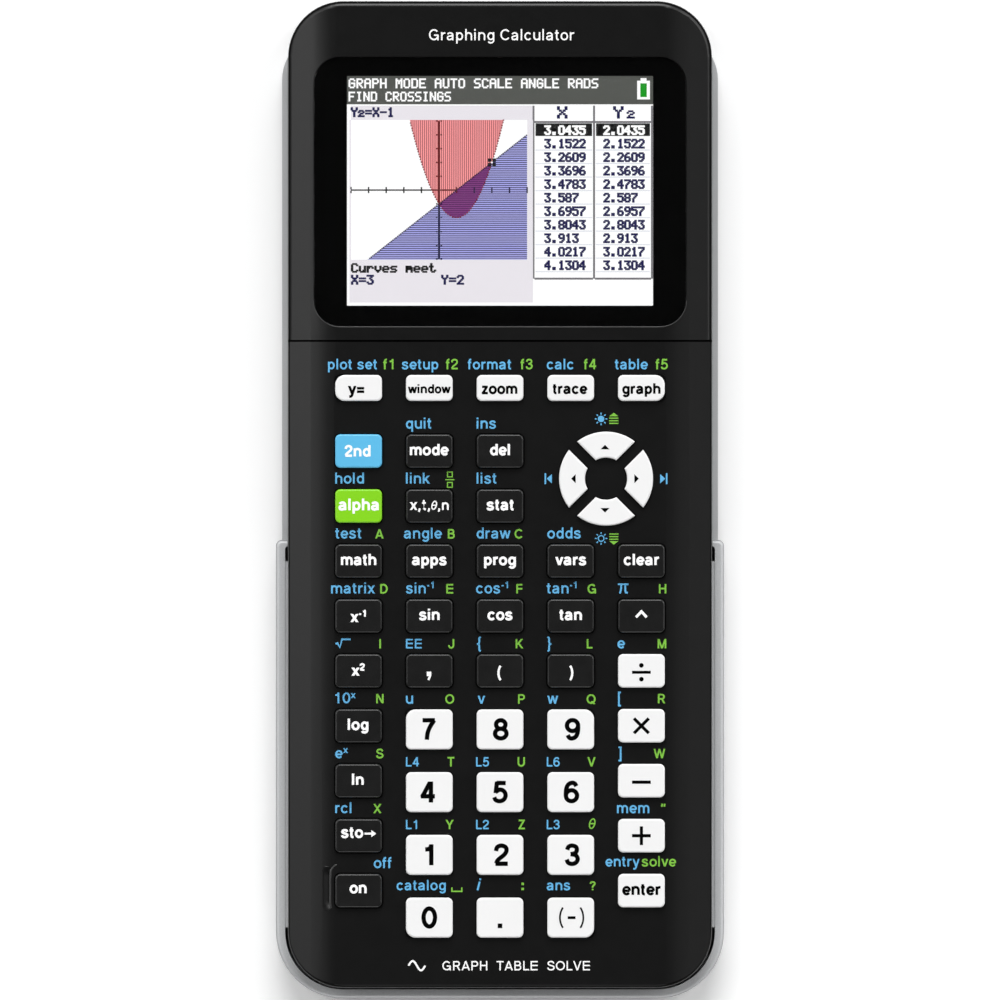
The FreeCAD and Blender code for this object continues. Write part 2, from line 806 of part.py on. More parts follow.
def key_body(name, draw, x, y, turn=0):
    """A keycap with a rounded top edge on a wider flange that keeps it in its window."""
    body = new_body(name)
    cap_sketch = new_sketch(body, "CapSketch", offset=FLANGE_Z)
    draw(cap_sketch, "0")
    cap = pad(body, cap_sketch, "Cap", f"Sizes.key_top_z - ({FLANGE_Z})")
    fillet(body, cap, "CapRound", "Sizes.key_round", flat_at(value_of("Sizes.key_top_z")))
    flange_sketch = new_sketch(body, "FlangeSketch", offset=FLANGE_Z)
    draw(flange_sketch, "Sizes.flange_lip")
    pad(body, flange_sketch, "Flange", "Sizes.flange_thickness")
    body.Placement = Placement(Vector(0, 0, 0), Rotation(Vector(0, 0, 1), turn))
    bind(body, Placement__Base__x=x, Placement__Base__y=y)
    return body


def make_square_key(name, x, y, height):
    rounder = ROUNDER_CORNERS.get(name, ())

    def draw(sketch, growth):
        corners = [
            f"Sizes.{'large_corner' if corner in rounder else 'key_corner'} + {growth}"
            for corner in range(4)
        ]
        centred_rectangle(
            sketch, f"Sizes.key_width + 2 * {growth}", f"{height} + 2 * {growth}", corners
        )

    return key_body(name, draw, x, y)


def make_arrow_key(name, turn):
    def draw(sketch, growth):
        ring_segment(
            sketch,
            f"Sizes.arrow_inner - {growth}",
            f"Sizes.arrow_outer + {growth}",
            f"Sizes.arrow_gap - 2 * {growth}",
        )

    return key_body(name, draw, "Sizes.arrow_x", "Sizes.arrow_y", turn)


# ---------------------------------------------------------------- inside


def make_rubber_keypad():
    body = new_body("rubber_keypad")
    outline = new_sketch(body, "MatSketch", offset=BOARD_TOP_Z)
    rectangle(
        outline,
        "-Sizes.mat_half_width",
        "Sizes.mat_half_width",
        "Sizes.mat_bottom",
        "Sizes.mat_top",
        ["Sizes.mat_corner"] * 4,
    )
    pad(body, outline, "Mat", "Sizes.mat_thickness")
    domes = new_sketch(body, "DomeSketch", offset=f"{BOARD_TOP_Z} + Sizes.mat_thickness")
    for _, x, y, _ in KEYS:
        circle(domes, x, y, "Sizes.dome_radius")
    middle = "(Sizes.arrow_inner + Sizes.arrow_outer) / 2"
    for along_x, along_y in ((1, 0), (0, 1), (-1, 0), (0, -1)):
        circle(
            domes,
            f"Sizes.arrow_x + {along_x} * {middle}",
            f"Sizes.arrow_y + {along_y} * {middle}",
            "Sizes.arrow_dome_radius",
        )
    height = f"{FLANGE_Z} - Sizes.dome_clearance - ({BOARD_TOP_Z}) - Sizes.mat_thickness"
    pad(body, domes, "Domes", height)
    return body


def make_circuit_board():
    board = doc.addObject("PartDesign::Body", "board")
    outline = new_sketch(board, "BoardSketch", offset="Sizes.board_z")
    rectangle(
        outline,
        "-Sizes.board_half_width",
        "Sizes.board_half_width",
        "Sizes.board_bottom",
        "Sizes.board_top",
        ["Sizes.board_corner"] * 4,
    )
    pad(board, outline, "BoardPlate", "Sizes.board_thickness")
    under = "Sizes.board_z"
    chips = [
        box_between(
            chip,
            f"Sizes.{chip}_x - Sizes.{chip}_width / 2",
            f"Sizes.{chip}_x + Sizes.{chip}_width / 2",
            f"Sizes.{chip}_y - Sizes.{chip}_length / 2",
            f"Sizes.{chip}_y + Sizes.{chip}_length / 2",
            "Sizes.board_z - Sizes.chip_height",
            under,
        )
        for chip in ("processor", "memory", "charger", "display_plug")
    ]
    shell = box_between(
        "socket_shell",
        "Sizes.socket_x - Sizes.socket_width / 2",
        "Sizes.socket_x + Sizes.socket_width / 2",
        "Sizes.socket_mouth - Sizes.socket_depth",
        "Sizes.socket_mouth",
        "Sizes.board_z - Sizes.socket_height",
        under,
    )
    mouth = box_between(
        "socket_hollow",
        "Sizes.socket_x - Sizes.socket_width / 2 + Sizes.socket_wall",
        "Sizes.socket_x + Sizes.socket_width / 2 - Sizes.socket_wall",
        "Sizes.socket_mouth - Sizes.socket_depth + Sizes.socket_back",
        "Sizes.socket_mouth + Sizes.cut_margin",
        "Sizes.board_z - Sizes.socket_height + Sizes.socket_wall",
        "Sizes.board_z - Sizes.socket_wall",
    )
    socket = doc.addObject("Part::Cut", "usb_socket")
    socket.Base = shell
    socket.Tool = mouth
    tongue = box_between(
        "socket_tongue",
        "Sizes.socket_x - Sizes.tongue_width / 2",
        "Sizes.socket_x + Sizes.tongue_width / 2",
        "Sizes.socket_mouth - Sizes.socket_depth + Sizes.socket_back",
        "Sizes.socket_mouth - Sizes.tongue_recess",
        f"{SOCKET_Z} - Sizes.tongue_thickness / 2",
        f"{SOCKET_Z} + Sizes.tongue_thickness / 2",
    )
    light = primitive(
        "Cylinder",
        "charge_light",
        Radius="Sizes.light_radius",
        Height="Sizes.light_length",
        Placement__Base__x="Sizes.light_x",
        Placement__Base__y="Sizes.rear_top + Sizes.light_proud",
        Placement__Base__z=SOCKET_Z,
    )
    light.Placement.Rotation = Rotation(Vector(1, 0, 0), 90)
    return compound("circuit_board", [board, *chips, socket, tongue, light])


def make_rear_case():
    body = new_body("rear_case")
    outline = new_sketch(body, "TraySketch", offset="Sizes.rear_z")
    rectangle(
        outline,
        "-Sizes.rear_half_width",
        "Sizes.rear_half_width",
        "Sizes.rear_bottom",
        "Sizes.rear_top",
        ["Sizes.rear_corner"] * 4,
    )
    tray = pad(body, outline, "Tray", "Sizes.ledge_z - Sizes.rear_z")
    fillet(body, tray, "TrayRound", "Sizes.rear_edge_round", flat_at(value_of("Sizes.rear_z")))
    rim = new_sketch(body, "TongueSketch", offset="Sizes.ledge_z")
    rectangle(
        rim,
        "-Sizes.rear_half_width + Sizes.tongue_inset",
        "Sizes.rear_half_width - Sizes.tongue_inset",
        "Sizes.rear_bottom + Sizes.tongue_inset",
        "Sizes.rear_top - Sizes.tongue_inset",
        ["Sizes.rear_corner - Sizes.tongue_inset"] * 4,
    )
    pad(body, rim, "Tongue", "Sizes.tongue_top_z - Sizes.ledge_z")
    inset = "Sizes.tongue_inset + Sizes.case_wall"
    hollow = new_sketch(body, "TrayHollowSketch", offset="Sizes.tongue_top_z")
    rectangle(
        hollow,
        f"-Sizes.rear_half_width + {inset}",
        f"Sizes.rear_half_width - ({inset})",
        f"Sizes.rear_bottom + {inset}",
        f"Sizes.rear_top - ({inset})",
        [f"Sizes.rear_corner - ({inset})"] * 4,
    )
    depth = "Sizes.tongue_top_z - Sizes.rear_z - Sizes.rear_floor"
    pocket(body, hollow, "TrayHollow", depth)

    floor_z = "Sizes.rear_z + Sizes.rear_floor"
    block = new_sketch(body, "BayBlockSketch", offset=f"{floor_z} - Sizes.weld")
    half_block = "Sizes.bay_width / 2 + Sizes.bay_wall"
    rectangle(
        block,
        f"-({half_block})",
        half_block,
        "Sizes.bay_y - Sizes.bay_height / 2 - Sizes.bay_wall - Sizes.door_screw_drop",
        "Sizes.bay_y + Sizes.bay_height / 2 + Sizes.bay_wall",
        ["Sizes.bay_corner"] * 4,
    )
    pad(body, block, "BayBlock", f"Sizes.bay_roof_z + Sizes.bay_roof - ({floor_z}) + Sizes.weld")
    bay = new_sketch(body, "BaySketch", offset="Sizes.rear_z")
    corners = ["Sizes.bay_corner"] * 4
    centred_rectangle(bay, "Sizes.bay_width", "Sizes.bay_height", corners, y="Sizes.bay_y")
    pocket(body, bay, "Bay", "Sizes.bay_roof_z - Sizes.rear_z", upwards=True)
    seat = new_sketch(body, "DoorSeatSketch", offset="Sizes.rear_z")
    half_seat = "Sizes.bay_width / 2 + Sizes.door_lip"
    rectangle(
        seat,
        f"-({half_seat})",
        half_seat,
        "Sizes.bay_y - Sizes.bay_height / 2 - Sizes.door_lip - Sizes.door_screw_drop",
        "Sizes.bay_y + Sizes.bay_height / 2 + Sizes.door_lip",
        corners,
    )
    pocket(body, seat, "DoorSeat", "Sizes.door_thickness", upwards=True)

    bosses = new_sketch(body, "RearBossSketch", offset=f"{floor_z} - Sizes.weld")
    heads = new_sketch(body, "HeadPocketSketch", offset="Sizes.rear_z")
    holes = new_sketch(body, "ShankHoleSketch", offset="Sizes.rear_z")
    for x, y in SCREW_PLACES:
        circle(bosses, x, y, "Sizes.rear_boss_radius")
        circle(heads, x, y, "Sizes.head_pocket_radius")
        circle(holes, x, y, "Sizes.shank_radius + Sizes.shank_clearance")
    pad(body, bosses, "RearBosses", f"Sizes.rear_boss_top_z - ({floor_z}) + Sizes.weld")
    pocket(body, heads, "HeadPockets", "Sizes.head_pocket_depth", upwards=True)
    pocket(body, holes, "ShankHoles", "Sizes.rear_boss_top_z", upwards=True)
    door_hole = new_sketch(body, "DoorScrewHoleSketch", offset="Sizes.rear_z")
    circle(door_hole, "0", DOOR_SCREW_Y, "Sizes.shank_radius")
    pocket(body, door_hole, "DoorScrewHole", "Sizes.door_screw_depth", upwards=True)

    end_offset = "-Sizes.rear_top - Sizes.cut_margin"
    port = new_sketch(body, "SocketPortSketch", "XZ_Plane", offset=end_offset)
    centred_rectangle(
        port,
        "Sizes.socket_width + 2 * Sizes.port_gap",
        "Sizes.socket_height + 2 * Sizes.port_gap",
        ["Sizes.port_corner"] * 4,
        x="Sizes.socket_x",
        y=SOCKET_Z,
    )
    circle(port, "Sizes.light_x", SOCKET_Z, "Sizes.light_radius + Sizes.light_gap")
    pocket(body, port, "SocketPort", f"2 * Sizes.cut_margin + {inset}", upwards=True)
    return body


def make_battery_pack():
    body = new_body("battery_pack")
    floor_z = "Sizes.rear_z + Sizes.door_thickness + Sizes.battery_play"
    roof_z = "Sizes.bay_roof_z - Sizes.battery_play"
    outline = new_sketch(body, "PackSketch", offset=floor_z)
    gap = "2 * Sizes.battery_gap"
    centred_rectangle(
        outline,
        f"Sizes.bay_width - {gap}",
        f"Sizes.bay_height - {gap}",
        ["Sizes.bay_corner"] * 4,
        y="Sizes.bay_y",
    )
    pack = pad(body, outline, "Pack", f"{roof_z} - ({floor_z})")
    fillet(body, pack, "PackRound", "Sizes.battery_round", flat_at(value_of(roof_z)))
    return body


def make_battery_door():
    body = new_body("battery_door")
    outline = new_sketch(body, "DoorSketch", offset="Sizes.rear_z")
    half_door = "Sizes.bay_width / 2 + Sizes.door_lip - Sizes.door_gap"
    lip = "Sizes.door_lip - Sizes.door_gap"
    rectangle(
        outline,
        f"-({half_door})",
        half_door,
        f"Sizes.bay_y - Sizes.bay_height / 2 - ({lip}) - Sizes.door_screw_drop",
        f"Sizes.bay_y + Sizes.bay_height / 2 + {lip}",
        ["Sizes.bay_corner - Sizes.door_gap"] * 4,
    )
    pad(body, outline, "DoorPlate", "Sizes.door_thickness - Sizes.door_play")
    hole = new_sketch(body, "DoorHoleSketch", offset="Sizes.rear_z")
    circle(hole, "0", DOOR_SCREW_Y, "Sizes.shank_radius + Sizes.shank_clearance")
    pocket(body, hole, "DoorHole", "Sizes.door_thickness + Sizes.cut_margin", upwards=True)
    head = new_sketch(body, "DoorHeadSketch", offset="Sizes.rear_z")
    circle(head, "0", DOOR_SCREW_Y, "Sizes.head_pocket_radius")
    pocket(body, head, "DoorHead", "Sizes.door_thickness / 2", upwards=True)
    return body


def make_screw(name, x, y, head_z, head_height, end_z):
    """A screw pointing up, with a crossed slot in its head."""
    shank_radius = "Sizes.shank_radius - Sizes.thread_gap"
    shank = cylinder_up(f"{name}_shank", shank_radius, x, y, head_z, end_z)
    head_top = f"{head_z} + {head_height}"
    head = cylinder_up(f"{name}_head", "Sizes.screw_head_radius", x, y, head_z, head_top)
    whole = doc.addObject("Part::Fuse", f"{name}_blank")
    whole.Base = head
    whole.Tool = shank
    bars = []
    reach, half_slot = "Sizes.slot_reach", "Sizes.slot_width / 2"
    for half_x, half_y in ((reach, half_slot), (half_slot, reach)):
        bar = box_between(
            f"{name}_slot",
            f"{x} - {half_x}",
            f"{x} + {half_x}",
            f"{y} - {half_y}",
            f"{y} + {half_y}",
            f"{head_z} - Sizes.cut_margin",
            f"{head_z} + Sizes.slot_depth * {head_height} / Sizes.screw_head_height",
        )
        bars.append(bar)
    cross = doc.addObject("Part::Fuse", f"{name}_cross")
    cross.Base = bars[0]
    cross.Tool = bars[1]
    screw = doc.addObject("Part::Cut", name)
    screw.Base = whole
    screw.Tool = cross
    return screw


def make_case_screws():
    head_z = "Sizes.rear_z + Sizes.head_pocket_depth - Sizes.screw_head_height"
    screws = [
        make_screw(f"case_screw_{n}", x, y, head_z, "Sizes.screw_head_height", "Sizes.screw_end_z")
        for n, (x, y) in enumerate(SCREW_PLACES, 1)
    ]
    door_screw = make_screw(
        "door_screw",
        "0",
        DOOR_SCREW_Y,
        "Sizes.rear_z + Sizes.door_play",
        "Sizes.door_thickness / 2 - Sizes.door_play",
        "Sizes.rear_z + Sizes.door_screw_depth - Sizes.screw_end_gap",
    )
    return compound("case_screws", screws + [door_screw])


# ---------------------------------------------------------------- slide cover


def make_slide_cover():
    body = new_body("slide_cover")
    upper = new_sketch(body, "UpperTraySketch")
    rectangle(
        upper,
        "-Sizes.cover_upper_half",
        "Sizes.cover_upper_half",
        "Sizes.cover_shoulder_y - Sizes.shoulder_overlap",
        "Sizes.cover_top",
        ["Sizes.cover_upper_corner"] * 2 + ["Sizes.shoulder_corner"] * 2,
    )
    pad(body, upper, "UpperTray", "Sizes.cover_upper_z")
    lower = new_sketch(body, "LowerTraySketch")
    rectangle(
        lower,
        "-Sizes.cover_half",
        "Sizes.cover_half",
        "Sizes.cover_bottom",
        "Sizes.cover_shoulder_y",
        ["Sizes.shoulder_corner"] * 2 + ["Sizes.cover_corner"] * 2,
    )
    tray = pad(body, lower, "LowerTray", "Sizes.cover_z")

    def lower_outer_rim(middle, edge):
        level = all(abs(v.Z - value_of("Sizes.cover_z")) < 1e-4 for v in edge.Vertexes)
        return level and middle.z > value_of("Sizes.cover_z") - 1e-4

    rim = fillet(body, tray, "RimRound", "Sizes.cover_edge_round", lower_outer_rim)
    fillet(body, rim, "BaseRound", "Sizes.cover_base_round", flat_at(0))

    hollow = new_sketch(body, "LowerHollowSketch", offset="Sizes.cover_z")
    rectangle(
        hollow,
        "-Sizes.cover_inner",
        "Sizes.cover_inner",
        "Sizes.cover_bottom + Sizes.cover_end_wall",
        "Sizes.cover_shoulder_y - Sizes.shoulder_wall",
        ["Sizes.shoulder_inner_corner"] * 2 + ["Sizes.cover_inner_corner"] * 2,
    )
    pocket(body, hollow, "LowerHollow", "Sizes.cover_z - Sizes.cover_floor")
    channel = new_sketch(body, "UpperHollowSketch", offset="Sizes.cover_z")
    rectangle(
        channel,
        "-Sizes.cover_upper_inner",
        "Sizes.cover_upper_inner",
        "Sizes.cover_shoulder_y - Sizes.shoulder_overlap",
        "Sizes.cover_top + Sizes.cut_margin",
    )
    pocket(body, channel, "UpperHollow", "Sizes.cover_z - Sizes.cover_floor")

    lips = new_sketch(body, "LipSketch", offset="Sizes.cover_z - Sizes.lip_drop")
    inner, outer = "Sizes.cover_inner - Sizes.lip_reach", "Sizes.cover_inner + Sizes.lip_root"
    corners = ["Sizes.lip_corner"] * 4
    for left, right in ((inner, outer), (f"-({outer})", f"-({inner})")):
        rectangle(lips, left, right, "Sizes.lip_bottom", "Sizes.lip_top", corners)
    pad(body, lips, "Lips", "Sizes.lip_thickness", reverse=True)

    rib = new_sketch(body, "GripSketch", y="Sizes.rib_y")
    centred_rectangle(rib, "Sizes.rib_length", "Sizes.rib_width", ["Sizes.rib_corner"] * 4)
    groove = pocket(body, rib, "GripGroove", "Sizes.rib_depth", upwards=True)
    repeat_along_y(body, groove, "GripGrooves", rib, RIBS, "Sizes.rib_pitch")
    return body


# ---------------------------------------------------------------- build and write

parts = [
    make_front_case(),
    make_display_lens(),
    make_display_module(),
    make_rubber_keypad(),
    make_circuit_board(),
    make_rear_case(),
    make_battery_pack(),
    make_battery_door(),
    make_case_screws(),
    make_slide_cover(),
]
parts += [make_square_key(*key) for key in KEYS]
parts += [make_arrow_key(name, turn) for name, turn in ARROW_KEYS.items()]
doc.recompute()

for thing in doc.Objects:
    if {"Invalid", "Error"} & set(thing.State):
        raise RuntimeError(f"{thing.Name} ({thing.Label}) failed: {thing.State}")
for part in parts:
    if part.Shape.isNull() or not part.Shape.isValid():
        raise RuntimeError(f"{part.Label} has no valid shape")

os.makedirs("parts", exist_ok=True)
for part in parts:
    part.Shape.exportStep(f"parts/{part.Label}.step")
print(len(parts), "parts written")
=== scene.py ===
import json
import math

import bpy
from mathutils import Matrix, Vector
from mathutils.bvhtree import BVHTree


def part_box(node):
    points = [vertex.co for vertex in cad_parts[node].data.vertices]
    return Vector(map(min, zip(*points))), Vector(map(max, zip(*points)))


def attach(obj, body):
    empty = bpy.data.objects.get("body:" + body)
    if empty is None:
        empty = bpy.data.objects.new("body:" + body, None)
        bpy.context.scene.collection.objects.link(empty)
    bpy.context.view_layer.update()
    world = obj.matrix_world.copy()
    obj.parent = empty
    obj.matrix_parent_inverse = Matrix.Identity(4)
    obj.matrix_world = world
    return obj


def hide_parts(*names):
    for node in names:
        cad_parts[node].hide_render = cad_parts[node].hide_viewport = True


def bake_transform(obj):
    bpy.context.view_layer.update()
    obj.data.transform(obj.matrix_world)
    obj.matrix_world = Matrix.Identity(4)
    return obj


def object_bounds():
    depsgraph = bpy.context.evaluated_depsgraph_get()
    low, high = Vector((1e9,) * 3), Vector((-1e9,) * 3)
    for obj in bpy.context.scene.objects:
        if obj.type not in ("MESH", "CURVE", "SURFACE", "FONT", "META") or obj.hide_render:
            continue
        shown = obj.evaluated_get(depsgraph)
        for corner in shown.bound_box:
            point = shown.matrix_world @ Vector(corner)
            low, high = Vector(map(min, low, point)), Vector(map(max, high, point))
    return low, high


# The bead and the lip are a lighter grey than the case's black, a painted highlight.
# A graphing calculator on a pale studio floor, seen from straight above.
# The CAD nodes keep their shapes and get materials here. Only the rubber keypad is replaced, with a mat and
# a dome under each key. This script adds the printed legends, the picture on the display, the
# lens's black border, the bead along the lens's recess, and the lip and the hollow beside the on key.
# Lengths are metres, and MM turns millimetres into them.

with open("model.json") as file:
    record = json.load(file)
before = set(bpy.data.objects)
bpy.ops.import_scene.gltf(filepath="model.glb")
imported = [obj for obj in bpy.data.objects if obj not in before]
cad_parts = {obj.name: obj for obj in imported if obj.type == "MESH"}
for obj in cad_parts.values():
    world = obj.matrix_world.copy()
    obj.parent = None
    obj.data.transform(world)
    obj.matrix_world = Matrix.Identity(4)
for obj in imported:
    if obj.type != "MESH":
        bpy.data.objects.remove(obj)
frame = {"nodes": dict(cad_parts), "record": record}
nodes = frame["nodes"]
cad_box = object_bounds()
slot_of = {part["node"]: part["material_slot"] for part in frame["record"]["subparts"]}
keys = sorted(name[4:] for name in nodes if name.startswith("key_"))
FUNCTION_KEYS = ("y_equals", "window", "zoom", "trace", "graph")
ARROW_WAYS = {"right": (1, 0), "up": (0, 1), "left": (-1, 0), "down": (0, -1)}
MM = 0.001


def srgb(red, green, blue):
    """A linear colour from 0-255 display values."""
    shares = (value / 255 for value in (red, green, blue))
    return (*(s / 12.92 if s <= 0.04045 else ((s + 0.055) / 1.055) ** 2.4 for s in shares), 1.0)


def grey(value):
    return (value, value, value, 1.0)


def scaled(colour, factor):
    return (*(channel * factor for channel in colour[:3]), 1.0)


# ---------------------------------------------------------------- materials

X, Y, Z = range(3)
NOISE_RANGE = (0.3, 0.7)


class Nodes:
    """A node tree, and short ways to add to it."""

    def __init__(self, owner):
        owner.use_nodes = True
        self.tree = owner.node_tree

    def first(self, kind):
        return next(node for node in self.tree.nodes if node.type == kind)

    def feed(self, node, inputs):
        """Gives each socket its number, its colour or another node's output."""
        for socket, value in inputs.items():
            if isinstance(value, bpy.types.NodeSocket):
                self.tree.links.new(value, node.inputs[socket])
            else:
                node.inputs[socket].default_value = value

    def add(self, kind, inputs, output=0, **settings):
        """Adds a node and returns one of its outputs."""
        node = self.tree.nodes.new("ShaderNode" + kind)
        for setting, value in settings.items():
            setattr(node, setting, value)
        self.feed(node, inputs)
        return node.outputs[output]

    def maths(self, operation, first, second, clamp=False):
        return self.add("Math", {0: first, 1: second}, operation=operation, use_clamp=clamp)

    def ranged(self, value, start, end, low=0.0, high=1.0):
        """Carries a value from start..end to low..high, and holds it there at both ends."""
        inputs = {"Value": value, "From Min": start, "From Max": end, "To Min": low, "To Max": high}
        return self.add("MapRange", inputs, "Result")

    def mixed(self, fac, first, second):
        """A colour between two, by fac."""
        return self.add("Mix", {"Factor": fac, "A": first, "B": second}, "Result", data_type="RGBA")


class Surface(Nodes):
    """A new material. Its patterns are fixed to the object."""

    def __init__(self, name):
        self.material = bpy.data.materials.new(name)
        super().__init__(self.material)
        self.shader = self.first("BSDF_PRINCIPLED")

    def shade(self, inputs):
        self.feed(self.shader, inputs)

    def finish(self, base, rough, height, depth, others=()):
        """Sets the shader, and raises the surface by up to depth metres where height is 1."""
        normal = self.add("Bump", {"Strength": 1.0, "Distance": depth, "Height": height}, "Normal")
        self.shade({"Base Color": base, "Roughness": rough, "Normal": normal, **dict(others)})
        return self

    def noise(self, scale, detail=2.0):
        """Noise with scale cells to a metre."""
        place = self.add("TexCoord", {}, "Object")
        return self.add("TexNoise", {"Vector": place, "Scale": scale, "Detail": detail}, "Fac")

    def spread(self, low, high, scale, detail=2.0):
        """Noise carried from its usual range to low..high."""
        return self.ranged(self.noise(scale, detail), *NOISE_RANGE, low, high)

    def along(self, axis):
        """The object's own X, Y or Z in metres."""
        return self.add("SeparateXYZ", {"Vector": self.add("TexCoord", {}, "Object")}, axis)

    def beyond(self, axis, limit, above=True):
        """1 where the object's coordinate on an axis is above a limit, or below it."""
        return self.maths("GREATER_THAN" if above else "LESS_THAN", self.along(axis), limit)

    def both(self, first, second):
        return self.maths("MULTIPLY", first, second)

    def facing_up(self, steep, level, low, high):
        """Runs from low where the surface's upward share is steep to high where it is level."""
        normal = self.add("NewGeometry", {}, "Normal")
        return self.ranged(self.add("SeparateXYZ", {"Vector": normal}, Z), steep, level, low, high)

    def base(self):
        """What colours the surface so far."""
        return self.shader.inputs["Base Color"].links[0].from_socket

    def paint(self, mask, colour):
        """Puts a colour over the base colour where mask is 1."""
        self.shade({"Base Color": self.mixed(mask, self.base(), colour)})

    def paint_rest(self, mask, colour):
        """Puts a colour over the base colour where mask is 0."""
        self.shade({"Base Color": self.mixed(mask, colour, self.base())})


def moulded_plastic(name, colour, rough, shift=0.04, grain=5200.0, depth=2.0e-6, specular=0.5, uneven=0.02):
    """Moulded plastic: a fine spark-eroded grain, slight blotches of gloss and a slight drift of colour."""
    surface = Surface(name)
    drift = surface.spread(0.0, 1.0, 90.0, 3.0)
    base = surface.mixed(drift, scaled(colour, 1 - shift), scaled(colour, 1 + shift))
    gloss = surface.spread(rough - uneven, rough + uneven, 420.0, 4.0)
    return surface.finish(base, gloss, surface.noise(grain), depth, {"Specular IOR Level": specular})


KEY_GAP_START, KEY_GAP_FADE = 0.25 * MM, 0.1 * MM


def gap_shaded_key_plastic(name, *look):
    """Plastic that darkens a little below the case's top: painted shade down in the gaps round the keys."""
    surface = moulded_plastic(name, *look)
    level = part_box("front_case")[1].z - KEY_GAP_START
    # painted shade: near black below the case's top, where the gaps round the keys are in shadow
    surface.paint_rest(surface.ranged(surface.along(Z), level - KEY_GAP_FADE, level), grey(0.003))
    return surface


CREASE_Y, CREASE_HALF = 30.62 * MM, 0.18 * MM
CREASE_Z = 12.5 * MM


def case_plastic(name):
    """The case's black plastic: satin on top and down the sides, dull where its rounded edges turn down. Its
    steep sides are painted a lighter grey as a sheen, and its crease is painted as a dark line of shade.
    """
    surface = moulded_plastic(name, grey(0.0013), 0.30, 0.1, 3600.0, 1.6e-6, uneven=0.008)
    face_gloss = surface.facing_up(0.74, 0.955, 0.02, 0.5)
    side_gloss = surface.facing_up(0.2, 0.45, 0.4, 0.0)
    gloss = surface.maths("MAXIMUM", face_gloss, side_gloss)
    # painted sheen: the steep sides get a lighter grey base colour than the top
    surface.paint_rest(surface.facing_up(0.15, 0.5, 0.0, 1.0), grey(0.013))

    # painted shade: the crease across the face is painted as a dull black line
    past_start = surface.beyond(Y, CREASE_Y - CREASE_HALF)
    before_end = surface.beyond(Y, CREASE_Y + CREASE_HALF, above=False)
    crease = surface.both(surface.both(past_start, before_end), surface.beyond(Z, CREASE_Z))
    surface.shade({"Specular IOR Level": surface.maths("SUBTRACT", gloss, crease, clamp=True)})
    surface.paint(crease, grey(0.0004))
    return surface


def silver_plastic(name):
    """Satin silver paint on plastic, with metal flakes. It is darker where it is steep: painted shade."""
    surface = Surface(name)
    flakes = surface.spread(0.0, 1.0, 7000.0, 1.0)
    flat = surface.mixed(flakes, (0.53, 0.54, 0.55, 1.0), (0.61, 0.62, 0.63, 1.0))
    # painted shade: steep faces take a dark grey in place of the silver
    base = surface.mixed(surface.facing_up(0.25, 0.95, 0.0, 1.0), (0.17, 0.175, 0.18, 1.0), flat)
    gloss = surface.spread(0.42, 0.5, 60.0, 3.0)
    return surface.finish(base, gloss, surface.noise(7000.0, 1.0), 1.2e-6, {"Metallic": 0.25})


def clear_glass(name):
    """Clear hard-coated acrylic, with the faintest ripple."""
    surface = Surface(name)
    tint = surface.mixed(surface.noise(40.0), (0.985, 0.99, 0.99, 1.0), grey(0.995))
    return surface.finish(tint, 0.02, surface.noise(60.0), 4.0e-7, {"IOR": 1.46, "Transmission Weight": 1.0})


def silicone(name):
    """Matt grey rubber with a dusty bloom."""
    surface = Surface(name)
    base = surface.mixed(surface.spread(0.0, 1.0, 300.0, 5.0), srgb(34, 35, 37), srgb(46, 47, 50))
    return surface.finish(base, surface.spread(0.6, 0.8, 900.0, 3.0), surface.noise(1500.0, 3.0), 8.0e-6)


BOARD_THICKNESS, BOARD_MARGIN = 1.2 * MM, 0.01 * MM
SOCKET_DEPTH = 9.4 * MM
LIGHT_TO_SOCKET = 14.0 * MM


def circuit_board(name):
    """Green solder mask over fine copper tracks."""
    surface = Surface(name)
    cells = {"Vector": surface.add("TexCoord", {}, "Object"), "Scale": 420.0}
    edge = surface.add("TexVoronoi", cells, "Distance", distance="MANHATTAN", feature="DISTANCE_TO_EDGE")
    tracks = surface.ranged(edge, 0.0, 0.08)
    base = surface.mixed(tracks, srgb(42, 120, 66), srgb(16, 66, 38))
    surface.finish(base, surface.spread(0.25, 0.4, 200.0), tracks, 1.5e-5)

    # black chips under the plate, and at its top end a steel socket and a milky light
    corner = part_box("circuit_board")[1]
    under = surface.beyond(Z, corner.z - BOARD_THICKNESS - BOARD_MARGIN, above=False)
    end = surface.both(under, surface.beyond(Y, corner.y - SOCKET_DEPTH))
    socket = surface.both(end, surface.beyond(X, LIGHT_TO_SOCKET))
    surface.paint(under, srgb(26, 26, 28))
    surface.paint(end, srgb(196, 204, 190))
    surface.paint(socket, srgb(176, 176, 178))
    surface.shade({"Metallic": socket})
    return surface


def brushed_steel(name):
    """Zinc-plated steel with fine turning marks."""
    surface = Surface(name)
    base = surface.mixed(surface.noise(2500.0, 4.0), srgb(150, 150, 154), srgb(190, 190, 192))
    gloss = surface.spread(0.22, 0.38, 4000.0)
    return surface.finish(base, gloss, surface.noise(6000.0), 2.0e-6, {"Metallic": 1.0})


def ink(name, colour, specular=0.5):
    """Pad-printed ink: slightly uneven in tone and gloss."""
    surface = Surface(name)
    base = surface.mixed(surface.noise(2600.0, 3.0), scaled(colour, 0.93), scaled(colour, 1.05))
    gloss = surface.spread(0.42, 0.56, 1800.0)
    return surface.finish(base, gloss, surface.noise(5000.0), 1.0e-6, {"Specular IOR Level": specular})


LCD_DOT = 0.184 * MM
LCD_STRENGTH = 1.09


